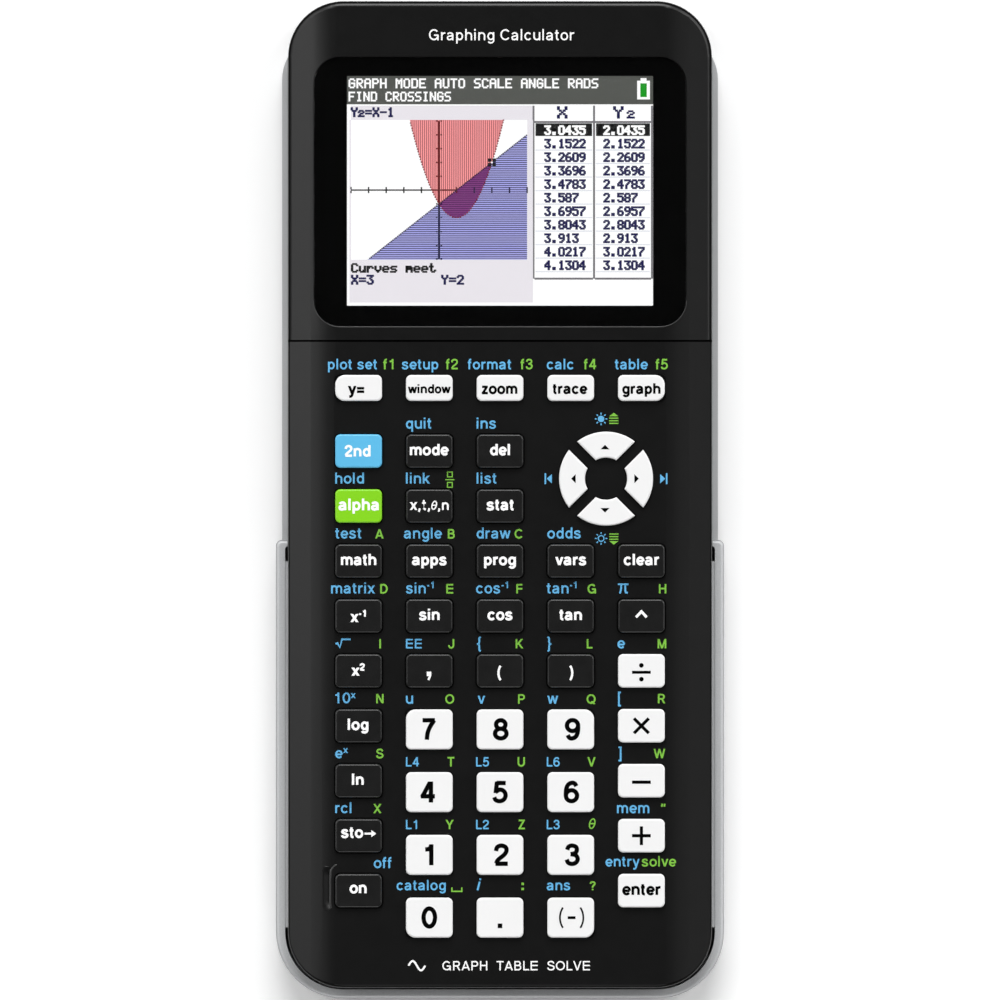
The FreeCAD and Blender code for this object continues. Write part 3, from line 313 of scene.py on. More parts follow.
def lit(name, first, second=None, axis=X):
    """Light from the display. Two colours alternate along X or Y in lines of one display dot."""
    surface = Surface(name)
    wave = surface.maths("PINGPONG", surface.along(axis), LCD_DOT)
    start, end = (0.35, 0.65) if second else (0.0, 1.0)
    share = surface.ranged(wave, LCD_DOT * start, LCD_DOT * end)
    glow = surface.mixed(share, first, second or scaled(first, 0.985))
    surface.shade({"Base Color": grey(0.0), "Roughness": 0.5})
    surface.shade({"Emission Color": glow, "Emission Strength": LCD_STRENGTH})
    return surface


surfaces = {
    "case_black": case_plastic("case_black"),
    "lens": clear_glass("lens"),
    "display": moulded_plastic("display_frame", (0.02, 0.02, 0.022, 1.0), 0.35),
    "silicone": silicone("silicone"),
    "board": circuit_board("board"),
    "battery": moulded_plastic("battery", srgb(60, 62, 66), 0.45),
    "steel": brushed_steel("steel"),
    "cover_silver": silver_plastic("cover_silver"),
    "key_white": gap_shaded_key_plastic("key_white", grey(0.80), 0.40, 0.01),
    "key_dark": gap_shaded_key_plastic("key_dark", grey(0.005), 0.30, 0.08),
    "key_blue": gap_shaded_key_plastic("key_blue", scaled(srgb(92, 186, 230), 0.92), 0.38, 0.02),
    "key_green": gap_shaded_key_plastic("key_green", scaled(srgb(132, 212, 14), 0.92), 0.38, 0.02),
}
for node_name, node in nodes.items():
    node.data.materials.clear()
    node.data.materials.append(surfaces[slot_of[node_name]].material)

blue_ink = ink("blue_ink", srgb(94, 174, 222))
green_ink = ink("green_ink", srgb(120, 186, 58))
white_ink = ink("white_ink", grey(0.93))
black_ink = ink("black_ink", grey(0.002), 0.0)


# ---------------------------------------------------------------- meshes


def new_object(name, data):
    """Puts a mesh, a light or a camera into the scene."""
    thing = bpy.data.objects.new(name, data)
    bpy.context.scene.collection.objects.link(thing)
    return thing


def new_piece(name, points, faces, surface, smooth=False):
    mesh = bpy.data.meshes.new(name)
    mesh.from_pydata(points, [], faces)
    mesh.validate()
    if smooth:
        mesh.shade_smooth()
    mesh.materials.append(surface.material)
    return new_object(name, mesh)


def grid_faces(columns, rows):
    """The faces of a sheet whose points run row by row."""
    wide = columns + 1
    corners = [row * wide + column for row in range(rows) for column in range(columns)]
    return [(a, a + 1, a + 1 + wide, a + wide) for a in corners]


def tube_faces(rings, sides, way=1):
    """The faces of a tube with closed ends. way is -1 where its rings run clockwise, seen along the tube."""
    faces = []
    for ring in range(rings - 1):
        for k in range(sides):
            a, b = ring * sides + k, ring * sides + (k + 1) % sides
            faces.append((a, b, b + sides, a + sides) if way > 0 else (a, a + sides, b + sides, b))
    first, last = tuple(range(sides)), tuple(range((rings - 1) * sides, rings * sides))
    return faces + [first[::-way], last[::way]]


def circle_points(x, y, radius, count):
    angles = [2 * math.pi * i / count for i in range(count)]
    return [(x + radius * math.cos(a), y + radius * math.sin(a)) for a in angles]


def rounded_box(x0, y0, x1, y1, radius, steps=8):
    """A rectangle's outline with round corners, anticlockwise from the right side's lower corner."""
    left, right, bottom, top = x0 + radius, x1 - radius, y0 + radius, y1 - radius
    outline = []
    for corner, (x, y) in enumerate([(right, bottom), (right, top), (left, top), (left, bottom)]):
        angles = [math.pi / 2 * (corner - 1 + i / steps) for i in range(steps + 1)]
        outline += [(x + radius * math.cos(a), y + radius * math.sin(a)) for a in angles]
    return outline


def surface_height(node_name):
    """A function that gives the height of a node's top surface at x, y."""
    mesh = nodes[node_name].data
    corners = [vertex.co for vertex in mesh.vertices]
    tree = BVHTree.FromPolygons(corners, [tuple(p.vertices) for p in mesh.polygons])
    start, down = cad_box[1].z + 0.1, Vector((0, 0, -1))

    def height(x, y):
        return tree.ray_cast(Vector((x, y, start)), down)[0].z

    return height


case_height = surface_height("front_case")


# ---------------------------------------------------------------- lettering

# A plain alphabet of even strokes, ten units to the em, with its baseline at 0. A letter is its advance, its
# curved strokes and its slanting bars, which have level ends.
LETTERS = {}
STEM_LEFT, STEM_RIGHT = 1.15, 4.65
SMALL, TALL, DEEP = 5.2, 7.2, -2.1


def letter(sign, advance, *strokes, slants=()):
    LETTERS[sign] = (advance, strokes, slants)


def arc(x, y, across, up, start=0, end=360):
    """Points along part of an ellipse, between two angles in degrees."""
    steps = max(3, round(abs(end - start) / 15))
    angles = [math.radians(start + (end - start) * i / steps) for i in range(steps + 1)]
    return [(x + across * math.cos(a), y + up * math.sin(a)) for a in angles]


def smooth(*knots, steps=5):
    """Points along a smooth curve through some knots."""
    line = []
    for i in range(len(knots) - 1):
        p0, p1, p2, p3 = (knots[min(max(i + k, 0), len(knots) - 1)] for k in (-1, 0, 1, 2))
        for t in (j / steps for j in range(steps)):
            a, b = -t + 2 * t * t - t ** 3, 2 - 5 * t * t + 3 * t ** 3
            c, d = t + 4 * t * t - 3 * t ** 3, t ** 3 - t * t
            line.append(tuple((a * p0[k] + b * p1[k] + c * p2[k] + d * p3[k]) / 2 for k in (X, Y)))
    return line + [knots[-1]]


def stem(x, low, high):
    return [(x, low), (x, high)]


def bar(y, left, right):
    return [(left, y), (right, y)]


def arch(left, right):
    """The hump of an n, from one stem over to the next."""
    return arc((left + right) / 2, 3.1, (right - left) / 2, 1.65, 180, 0) + [(right, 0)]


def zigzag(top, *xs):
    """Slanting bars that go down to the baseline and up to the top in turn, as in a w."""
    return [(xs[i + i % 2], top, xs[i + 1 - i % 2], 0) for i in range(len(xs) - 1)]


def turned(path, width, height):
    """A path turned half round within a width and height."""
    return [(width - x, height - y) for x, y in path]


def make_small_letters():
    bowl = arc(2.9, 2.6, 1.75, 2.1)
    short, tall = stem(STEM_LEFT, 0, SMALL), stem(STEM_LEFT, 0, TALL)
    hump = arch(STEM_LEFT, STEM_RIGHT)
    belly = smooth((4.2, 3.0), (2.9, 2.75), (1.3, 2.35), (0.95, 1.4), (1.5, 0.6), (2.5, 0.5), (3.7, 1.0),
                   (4.2, 1.9))
    snake = smooth((4.15, 3.75), (3.6, 4.6), (2.5, 4.8), (1.3, 4.4), (1.15, 3.5), (2.0, 2.9), (3.2, 2.5),
                   (4.2, 1.8), (3.9, 0.8), (2.6, 0.4), (1.3, 0.7), (0.85, 1.55))
    tail = smooth((2.75, -0.2), (2.2, -1.25), (1.5, -1.6), (0.7, -1.6))
    letter("a", 5.8, arc(2.6, 3.4, 1.65, 1.35, 160, 0) + [(4.25, 0)], belly)
    letter("b", 5.8, tall, bowl)
    letter("c", 5.5, arc(2.8, 2.6, 1.9, 2.15, 38, 322))
    letter("d", 5.8, stem(STEM_RIGHT, 0, TALL), bowl)
    letter("e", 5.5, bar(2.5, 1.0, 4.7), arc(2.8, 2.6, 1.9, 2.15, -3, 322))
    letter("f", 3.4, [(1.35, 0), (1.35, 5.6)] + arc(2.5, 5.6, 1.15, 1.1, 180, 80), bar(4.7, 0.3, 2.7))
    letter("g", 5.8, bowl, [(STEM_RIGHT, SMALL), (STEM_RIGHT, -0.1)] + arc(2.9, -0.1, 1.75, 1.55, 0, -155))
    letter("h", 5.8, tall, hump)
    letter("i", 2.6, short, stem(STEM_LEFT, 6.1, TALL))
    letter("k", 5.2, tall, slants=[(1.4, 1.9, 4.3, SMALL), (2.4, 3.0, 4.5, 0)])
    letter("l", 2.6, tall)
    letter("m", 8.4, short, arch(STEM_LEFT, 4.2), arch(4.2, 7.25))
    letter("n", 5.8, short, hump)
    letter("o", 5.7, arc(2.85, 2.6, 1.95, 2.15))
    letter("p", 5.8, stem(STEM_LEFT, DEEP, SMALL), bowl)
    letter("q", 5.8, stem(STEM_RIGHT, DEEP, SMALL), bowl)
    letter("r", 3.9, short, arc(3.1, 3.0, 1.95, 1.7, 180, 80))
    letter("s", 5.4, snake)
    letter("t", 3.5, [(1.45, 6.6), (1.45, 1.4)] + arc(2.35, 1.4, 0.9, 0.95, 180, 270) + [(2.8, 0.45)],
           bar(4.7, 0.3, 2.75))
    letter("u", 5.8, turned(hump, 5.8, SMALL), stem(STEM_RIGHT, 0, SMALL))
    letter("v", 5.1, slants=zigzag(SMALL, 0.7, 2.55, 4.4))
    letter("w", 7.3, slants=zigzag(SMALL, 0.7, 2.15, 3.65, 5.15, 6.6))
    letter("x", 5.1, slants=[(0.8, 0, 4.3, SMALL), (0.8, SMALL, 4.3, 0)])
    letter("y", 5.1, tail, slants=[(0.7, SMALL, 2.7, 0), (4.5, SMALL, 2.45, -0.8)])
    letter("z", 5.0, bar(4.7, 0.6, 4.4), bar(0.5, 0.5, 4.5), slants=[(1.2, 0.4, 3.8, 4.8)])


def make_capitals():
    left, middle, right = 1.3, 3.75, 5.7
    side, far_side = stem(left, 0, TALL), stem(right, 0, TALL)
    ring = arc(3.75, 3.6, 2.85, 3.1)
    top_bowl = [(left, 6.7), (3.6, 6.7)] + arc(3.7, 5.05, 1.65, 1.65, 90, -90) + [(left, 3.4)]
    upper = [(left, 6.7), (3.5, 6.7)] + arc(3.6, 5.25, 1.45, 1.45, 90, -90) + [(left, 3.8)]
    lower = [(left, 3.8), (3.7, 3.8)] + arc(3.8, 2.15, 1.6, 1.65, 90, -90) + [(left, 0.5)]
    snake = smooth((5.3, 5.3), (4.7, 6.4), (3.2, 6.8), (1.7, 6.35), (1.2, 5.2), (1.9, 4.2), (3.4, 3.7),
                   (5.0, 3.1), (5.5, 2.0), (4.9, 0.85), (3.3, 0.4), (1.6, 0.85), (0.9, 2.1))
    letter("A", 6.6, bar(2.1, 1.6, 5.0), slants=[(0.75, 0, 3.3, TALL), (5.85, 0, 3.3, TALL)])
    letter("B", 6.5, side, upper, lower)
    letter("C", 7.0, arc(3.65, 3.6, 2.75, 3.1, 38, 322))
    letter("D", 7.0, side, [(left, 6.7), (3.1, 6.7)] + arc(3.2, 3.6, 2.6, 3.1, 90, -90) + [(left, 0.5)])
    letter("E", 6.9, side, *(bar(y, left, 6.0) for y in (6.7, middle, 0.5)))
    letter("F", 5.8, side, *(bar(y, left, 5.3) for y in (6.7, 3.6)))
    letter("G", 7.5, arc(3.65, 3.6, 2.75, 3.1, 40, 345), bar(3.3, 3.7, 6.5), stem(6.2, 0, 3.3))
    letter("H", 7.0, side, far_side, bar(middle, left, right))
    letter("I", 2.6, side)
    letter("J", 5.3, [(4.1, TALL), (4.1, 2.2)] + arc(2.4, 2.2, 1.7, 1.75, 0, -190))
    letter("K", 6.5, side, slants=[(1.6, 2.6, 5.5, TALL), (2.9, 3.9, 5.8, 0)])
    letter("L", 5.4, side, bar(0.5, left, 5.1))
    letter("M", 8.0, side, stem(6.7, 0, TALL), slants=zigzag(TALL, 1.4, 4.0, 6.6))
    letter("N", 7.0, side, far_side, slants=[(1.4, TALL, 5.6, 0)])
    letter("O", 7.5, ring)
    letter("P", 6.3, side, top_bowl)
    letter("Q", 7.5, ring, slants=[(4.3, 2.0, 6.3, -0.3)])
    letter("R", 6.8, side, top_bowl, slants=[(3.7, 3.4, 5.6, 0)])
    letter("S", 6.4, snake)
    letter("T", 6.0, bar(6.7, 0.4, 5.6), stem(3.0, 0, TALL))
    letter("U", 7.0, [(left, TALL), (left, 2.7)] + arc(3.5, 2.7, 2.2, 2.3, 180, 360) + [(right, TALL)])
    letter("V", 6.5, slants=zigzag(TALL, 0.75, 3.25, 5.75))
    letter("W", 9.1, slants=zigzag(TALL, 0.75, 2.6, 4.55, 6.5, 8.35))
    letter("X", 6.4, slants=[(0.8, 0, 5.6, TALL), (0.8, TALL, 5.6, 0)])
    letter("Y", 6.4, stem(3.2, 0, 3.2), slants=[(0.75, TALL, 3.2, 2.9), (5.65, TALL, 3.2, 2.9)])
    letter("Z", 6.0, bar(6.7, 0.7, 5.4), bar(0.5, 0.6, 5.5), slants=[(1.2, 0.4, 4.8, 6.8)])


def make_digits():
    wide, top = 5.7, 7.1
    back = smooth((4.5, 5.5), (3.95, 6.4), (2.95, 6.65), (1.7, 6.0), (1.05, 4.4), (0.95, 2.4))
    six = [arc(2.85, 2.3, 1.9, 1.85), back]
    two = smooth((1.0, 4.8), (1.4, 6.1), (2.8, 6.65), (4.25, 6.1), (4.55, 4.9), (3.9, 3.7), (2.6, 2.6),
                 (1.5, 1.6), (1.1, 0.6))
    upper = smooth((1.15, 5.2), (1.6, 6.25), (2.8, 6.65), (4.1, 6.2), (4.4, 5.1), (3.8, 4.1), (2.3, 3.75))
    lower = smooth((2.3, 3.75), (4.0, 3.4), (4.7, 2.1), (4.1, 0.9), (2.8, 0.45), (1.5, 0.85), (0.95, 1.95))
    five = smooth((1.3, 3.5), (2.8, 4.35), (4.2, 3.8), (4.75, 2.4), (4.15, 1.0), (2.75, 0.45), (1.45, 0.8),
                  (0.9, 1.8))
    letter("0", wide, arc(2.85, 3.55, 1.95, 3.05))
    letter("1", wide, stem(3.35, 0, top), smooth((1.3, 5.35), (2.3, 5.45), (3.0, 5.9), (3.35, 6.9)))
    letter("2", wide, two, bar(0.5, 0.8, 5.0))
    letter("3", wide, upper, lower)
    letter("4", wide, bar(2.1, 0.5, 5.3), stem(3.95, 0, top), slants=[(1.1, 2.1, 3.8, top)])
    letter("5", wide, bar(6.6, 1.7, 4.8), five, slants=[(1.4, 3.2, 1.85, top)])
    letter("6", wide, *six)
    letter("7", wide, bar(6.6, 0.8, 5.0), smooth((4.75, 6.6), (3.4, 4.5), (2.55, 2.4), (2.25, 0)))
    letter("8", wide, arc(2.85, 5.15, 1.6, 1.45), arc(2.85, 2.1, 1.95, 1.65))
    letter("9", wide, *(turned(path, wide, top) for path in six))


def make_signs():
    brace = smooth((2.8, 7.3), (1.95, 6.95), (1.8, 6.0), (1.8, 4.2), (1.5, 3.2), (0.8, 2.8), (1.5, 2.4),
                   (1.8, 1.4), (1.8, -0.4), (1.95, -1.35), (2.8, -1.7))
    bracket = [(2.6, 7.1), (1.2, 7.1), (1.2, -1.5), (2.6, -1.5)]
    hook = smooth((1.0, 5.2), (1.5, 6.3), (2.8, 6.7), (4.2, 6.2), (4.5, 5.1), (3.7, 4.0), (2.85, 3.2),
                  (2.75, 2.0))
    letter("=", 5.8, bar(1.5, 0.6, 5.2), bar(3.7, 0.6, 5.2))
    letter("-", 3.4, bar(2.7, 0.5, 2.9))
    letter(",", 2.8, [(1.4, 1.1), (1.4, 0.1), (0.9, -1.2)])
    letter(":", 2.8, *(bar(y, 0.4, 2.4) for y in (0.65, 1.35, 4.75, 5.45)))
    letter("?", 5.5, hook, stem(2.75, 0, 1.2))
    letter("“", 4.6, *([(1.2 + shift, 5.0), (1.2 + shift, 6.1), (1.7 + shift, TALL)] for shift in (0, 1.9)))
    letter("{", 3.6, brace)
    letter("}", 3.6, turned(brace, 3.6, 5.6))
    letter("[", 3.2, bracket)
    letter("]", 3.2, turned(bracket, 3.2, 5.6))
    letter("θ", 5.4, arc(2.7, 3.6, 1.7, 3.1), bar(3.6, 1.0, 4.4))
    letter("π", 7.4, bar(6.0, 0.3, 7.1), smooth((2.4, 6.0), (2.3, 2.9), (1.5, 0)),
           smooth((5.1, 6.0), (5.1, 1.9), (5.5, 0.5), (6.8, 0.7)))
    letter("√", 10.5, [(0.4, 2.9), (1.7, 3.4), (3.2, 0.6), (4.6, 5.9), (10.2, 5.9)])
    letter(" ", 2.8)


make_small_letters()
make_capitals()
make_digits()
make_signs()


# ---------------------------------------------------------------- flat solids

STROKE_STEP = 0.02 * MM
RAISED_SIZE, RAISED_WEIGHT, RAISED_LIFT = 0.62, 0.75, 0.34


class Print:
    """Gathers flat shapes. Their z is -1 underneath and 1 or more on top until make() lays them down."""

    def __init__(self):
        self.points, self.faces = [], []
        self.laid = 0

    def top(self):
        """The next solid's top: 1 and a little, so that crossing strokes never share a plane."""
        self.laid += 1
        return 1 + 0.15 * (self.laid % 5)

    def solid(self, outline):
        """A flat solid with a convex or simple outline, anticlockwise."""
        first, count = len(self.points), len(outline)
        self.points += [(x, y, z) for z in (-1, self.top()) for x, y in outline]
        low = [first + i for i in range(count)]
        self.faces += [low[::-1], [i + count for i in low]]
        self.faces += [[i, j, count + j, count + i] for i, j in zip(low, low[1:] + low[:1])]

    def box(self, x0, y0, x1, y1):
        self.solid([(x0, y0), (x1, y0), (x1, y1), (x0, y1)])

    def strip(self, left, right, closed=False):
        """A flat solid between two lines with as many points, left and right of the way they run."""
        first, count = len(self.points), len(left)
        self.points += [(x, y, z) for z in (-1, self.top()) for x, y in [*left, *right]]
        low_left, low_right, top_left, top_right = (first + k * count for k in range(4))
        for i in range(count if closed else count - 1):
            j = (i + 1) % count
            self.faces.append([top_right + i, top_right + j, top_left + j, top_left + i])
            self.faces.append([low_left + i, low_left + j, low_right + j, low_right + i])
            self.faces.append([low_right + i, low_right + j, top_right + j, top_right + i])
            self.faces.append([low_left + j, low_left + i, top_left + i, top_left + j])
        if not closed:
            last = count - 1
            self.faces.append([low_left, low_right, top_right, top_left])
            self.faces.append([low_right + last, low_left + last, top_left + last, top_right + last])

    def ribbon(self, line, half):
        """A band along a line of points, half as wide on each side, with mitred corners."""
        closed = math.dist(line[0], line[-1]) < 1e-9
        if closed:
            line = line[:-1]
        count = len(line)
        left, right = [], []
        for i, (x, y) in enumerate(line):
            before = line[i - 1] if i or closed else line[0]
            after = line[(i + 1) % count] if i < count - 1 or closed else line[-1]
            ways = [(b[0] - a[0], b[1] - a[1]) for a, b in ((before, (x, y)), ((x, y), after)) if a != b]
            ways = [(dx / math.hypot(dx, dy), dy / math.hypot(dx, dy)) for dx, dy in ways]
            dx, dy = (sum(way[axis] for way in ways) / len(ways) for axis in (X, Y))
            reach = half / max(dx * dx + dy * dy, 0.3)
            left.append((x - dy * reach, y + dx * reach))
            right.append((x + dy * reach, y - dx * reach))
        self.strip(left, right, closed)

    def slant(self, x0, y0, x1, y1, half):
        """A slanting bar with level ends."""
        if y1 < y0:
            x0, y0, x1, y1 = x1, y1, x0, y0
        across = half * math.hypot(x1 - x0, y1 - y0) / (y1 - y0)
        self.solid([(x0 - across, y0), (x0 + across, y0), (x1 + across, y1), (x1 - across, y1)])

    def text(self, words, x, y, em, weight, align="left", stretch=1.0, lean=0.0):
        """Writes words with their baseline at y, and strokes of weight ems. A | raises what follows it."""
        first = len(self.points)
        pen, scale, half, base = 0.0, em / 10, weight * em / 2, y
        for sign in words:
            if sign == "|":
                scale *= RAISED_SIZE
                half *= RAISED_WEIGHT
                base += RAISED_LIFT * em
                continue
            advance, strokes, slants = LETTERS[sign]

            def place(px, py):
                return x + pen + (px + lean * py) * scale * stretch, base + py * scale

            for stroke in strokes:
                self.ribbon([place(*point) for point in stroke], half)
            for x0, y0, x1, y1 in slants:
                self.slant(*place(x0, y0), *place(x1, y1), half)
            pen += advance * scale * stretch
        drawn = self.points[first:]
        left, right = min(point[X] for point in drawn), max(point[X] for point in drawn)
        move = x - {"left": left, "right": right, "centre": (left + right) / 2}[align]
        self.points[first:] = [(px + move, py, pz) for px, py, pz in drawn]
        return right + move

    def make(self, name, surface, body, slot, low, high, ground=None):
        """Turns the shapes into a piece from low to high, over a ground that is a function of x and y."""
        placed = []
        for x, y, z in self.points:
            level = ground(x, y) if ground else 0.0
            placed.append((x, y, level + (high + (z - 1) * STROKE_STEP if z > 0 else low)))
        piece = new_piece(name, placed, self.faces, surface)
        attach(piece, body)
        return piece


# ---------------------------------------------------------------- legends on the keys

INK_PROUD = INK_SUNK = 0.02 * MM
KEY_EM = 3.0 * MM
KEY_WEIGHT, WHITE_KEY_WEIGHT = 0.152, 0.164
SMALL_HEIGHT, DIGIT_HEIGHT = 0.52, 0.71
DIGIT_EM, DIGIT_WEIGHT = 5.68 * MM, 0.148
DIGIT_RISE = 0.04

# The words that differ from the key's name, their size where it is not KEY_EM, and how many millimetres they
# are off the middle
KEY_WORDS = {"y_equals": "y=", "second": "2nd", "prgm": "prog", "inverse": "x|-1", "square": "x|2"}
KEY_SHARES = {"window": 0.79, "zoom": 0.95, "trace": 0.93, "graph": 0.93, "alpha": 1.04, "enter": 1.04}
FUNCTION_DROP = -0.38
KEY_SHIFTS = {
    "y_equals": (-0.5, FUNCTION_DROP),
    "window": (0.0, FUNCTION_DROP),
    "zoom": (-0.1, FUNCTION_DROP),
    "trace": (-0.1, FUNCTION_DROP),
    "graph": (0.0, FUNCTION_DROP),
    "second": (-0.2, -0.25),
    "inverse": (-0.1, -0.4),
    "square": (-0.1, -0.15),
    "log": (-0.1, 0.0),
    "ln": (-0.15, 0.0),
    "on": (-0.1, 0.3),
}
DIGIT_SHIFTS = {"2": 0.25, "3": 0.3, "4": -0.35, "6": 0.15, "8": 0.15, "9": 0.35}

# Legends that are shapes, in millimetres from the key's middle: each bar's half width and points, and each
# round bracket's place, side, height and half width
ARM, CROSS_ARM, BAR_HALF = 1.8, 1.8 * 0.79, 0.31
BAR_DROP = -0.27
KEY_BARS = {
    "plus": [(BAR_HALF, (-ARM, 0), (ARM, 0)), (BAR_HALF, (0, -ARM), (0, ARM))],
    "minus": [(BAR_HALF, (-ARM, BAR_DROP), (ARM, BAR_DROP))],
    "divide": [(BAR_HALF * 0.9, (-ARM, BAR_DROP), (ARM, BAR_DROP))],
    "multiply": [(BAR_HALF, (-CROSS_ARM, way * -CROSS_ARM), (CROSS_ARM, way * CROSS_ARM)) for way in (1, -1)],
    "point": [(0.44, (0, -2.0), (0, -1.12))],
    "negate": [(0.27, (-0.57, 0), (0.93, 0))],
    "power": [(0.25, (-1.02, -0.25), (0, 0.85), (1.02, -0.25))],
    "comma": [(0.43, (-0.05, -0.15), (-0.05, -1.0)), (0.2, (0.15, -0.95), (-0.17, -1.75))],
    "open_paren": [],
    "close_paren": [],
}
KEY_BRACKETS = {
    "negate": [(-2.07, 0.0, -1, 3.9, 0.17), (2.43, 0.0, 1, 3.9, 0.17)],
    "open_paren": [(-0.3, -0.4, -1, 2.75, 0.21)],
    "close_paren": [(0.3, -0.4, 1, 2.75, 0.21)],
}
DIVIDE_DOT, DIVIDE_DOT_RISE = 0.44, 1.33
ARROW_BASE, ARROW_TIP, ARROW_HALF = 5.65 * MM, 6.5 * MM, 0.86 * MM
ARROW_SHIFT = -0.2 * MM


def arrow_centre():
    left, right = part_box("key_left")[0].x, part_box("key_right")[1].x
    bottom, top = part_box("key_down")[0].y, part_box("key_up")[1].y
    return (left + right) / 2, (bottom + top) / 2


def bars(shape, x, y, width, height, *offsets):
    """Level bars of one size, at some heights above y."""
    for offset in offsets:
        shape.box(x - width / 2, y + offset - height / 2, x + width / 2, y + offset + height / 2)


def draw_bracket(shape, x, y, side, height, half):
    """A round bracket whose middle bulges to x. side is -1 for an opening one."""
    radius = height * 0.92
    reach = math.asin(height / 2 / radius)
    angles = [reach * (i / 8 - 1) for i in range(17)]
    shape.ribbon([(x + side * radius * (math.cos(a) - 1), y + radius * math.sin(a)) for a in angles], half)


def draw_symbol(key, shape, x, y):
    """A legend that is made of bars, round brackets and dots."""
    for half, *line in KEY_BARS[key]:
        shape.ribbon([(x + px * MM, y + py * MM) for px, py in line], half * MM)
    for px, py, side, height, half in KEY_BRACKETS.get(key, []):
        draw_bracket(shape, x + px * MM, y + py * MM, side, height * MM, half * MM)
    if key == "divide":
        for side in (-1, 1):
            rise = (BAR_DROP + side * DIVIDE_DOT_RISE) * MM
            shape.solid(circle_points(x, y + rise, DIVIDE_DOT * MM, 20))


def draw_variable(shape, x, y):
    base, weight = y - 0.75 * MM, 0.125
    end = shape.text("x,t,", x - 3.75 * MM, base, 2.9 * MM, weight)
    end = shape.text("θ", end + 0.25 * MM, base, 2.5 * MM, 0.09, lean=0.2)
    shape.text(",n", end + 0.1 * MM, base, 2.75 * MM, weight)


def draw_store(shape, x, y):
    """The letters sto and an arrow."""
    y += 0.4 * MM
    start = shape.text("sto", x - 3.4 * MM, y - SMALL_HEIGHT * KEY_EM / 2, KEY_EM, KEY_WEIGHT) + 0.25 * MM
    tip, back = x + 3.4 * MM, x + 2.45 * MM
    shape.ribbon([(start, y), (back, y)], 0.19 * MM)
    shape.solid([(back, y - 0.68 * MM), (tip, y), (back, y + 0.68 * MM)])


def draw_arrow(key, shape):
    x, y = arrow_centre()
    across, up = ARROW_WAYS[key]
    corners = [(ARROW_BASE, -ARROW_HALF), (ARROW_TIP, 0), (ARROW_BASE, ARROW_HALF)]
    shape.solid([(x + ARROW_SHIFT + a * across - b * up, y + a * up + b * across) for a, b in corners])


def print_key(key):
    """The legend of one key, which moves with it."""
    low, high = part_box("key_" + key)
    x, y = (low.x + high.x) / 2, (low.y + high.y) / 2
    on_white = slot_of["key_" + key] == "key_white"
    shape = Print()
    if key in ARROW_WAYS:
        draw_arrow(key, shape)
    elif key.isdigit():
        x += DIGIT_SHIFTS.get(key, 0.0) * MM
        y += DIGIT_RISE * MM - DIGIT_HEIGHT * DIGIT_EM / 2
        shape.text(key, x, y, DIGIT_EM, DIGIT_WEIGHT, "centre")
    elif key in KEY_BARS:
        draw_symbol(key, shape, x, y)
    elif key == "variable":
        draw_variable(shape, x, y)
    elif key == "store":
        draw_store(shape, x, y)
    else:
        right, up = KEY_SHIFTS.get(key, (0.0, 0.0))
        em = KEY_EM * KEY_SHARES.get(key, 1.0)
        base = y + up * MM - SMALL_HEIGHT * em / 2
        weight = WHITE_KEY_WEIGHT if on_white else KEY_WEIGHT
        shape.text(KEY_WORDS.get(key, key), x + right * MM, base, em, weight, "centre")
    surface, slot = (black_ink, "key_dark") if on_white else (white_ink, "key_white")
    shape.make("legend_" + key, surface, "cap_" + key, slot, high.z - INK_SUNK, high.z + INK_PROUD)


for key_name in keys:
    print_key(key_name)


# ---------------------------------------------------------------- legends on the case

LEGEND_EM, SIGN_EM = 2.95 * MM, 2.5 * MM
LEGEND_WEIGHT, SIGN_WEIGHT = 0.114, 0.13
LEGEND_RISE, LAST_ROW_RISE = 1.1 * MM, 0.32 * MM
EDGE_ROWS_SHARE = 0.95
FLANGE_LIP = 0.8 * MM
LAST_ROW = ("0", "point", "negate", "enter")

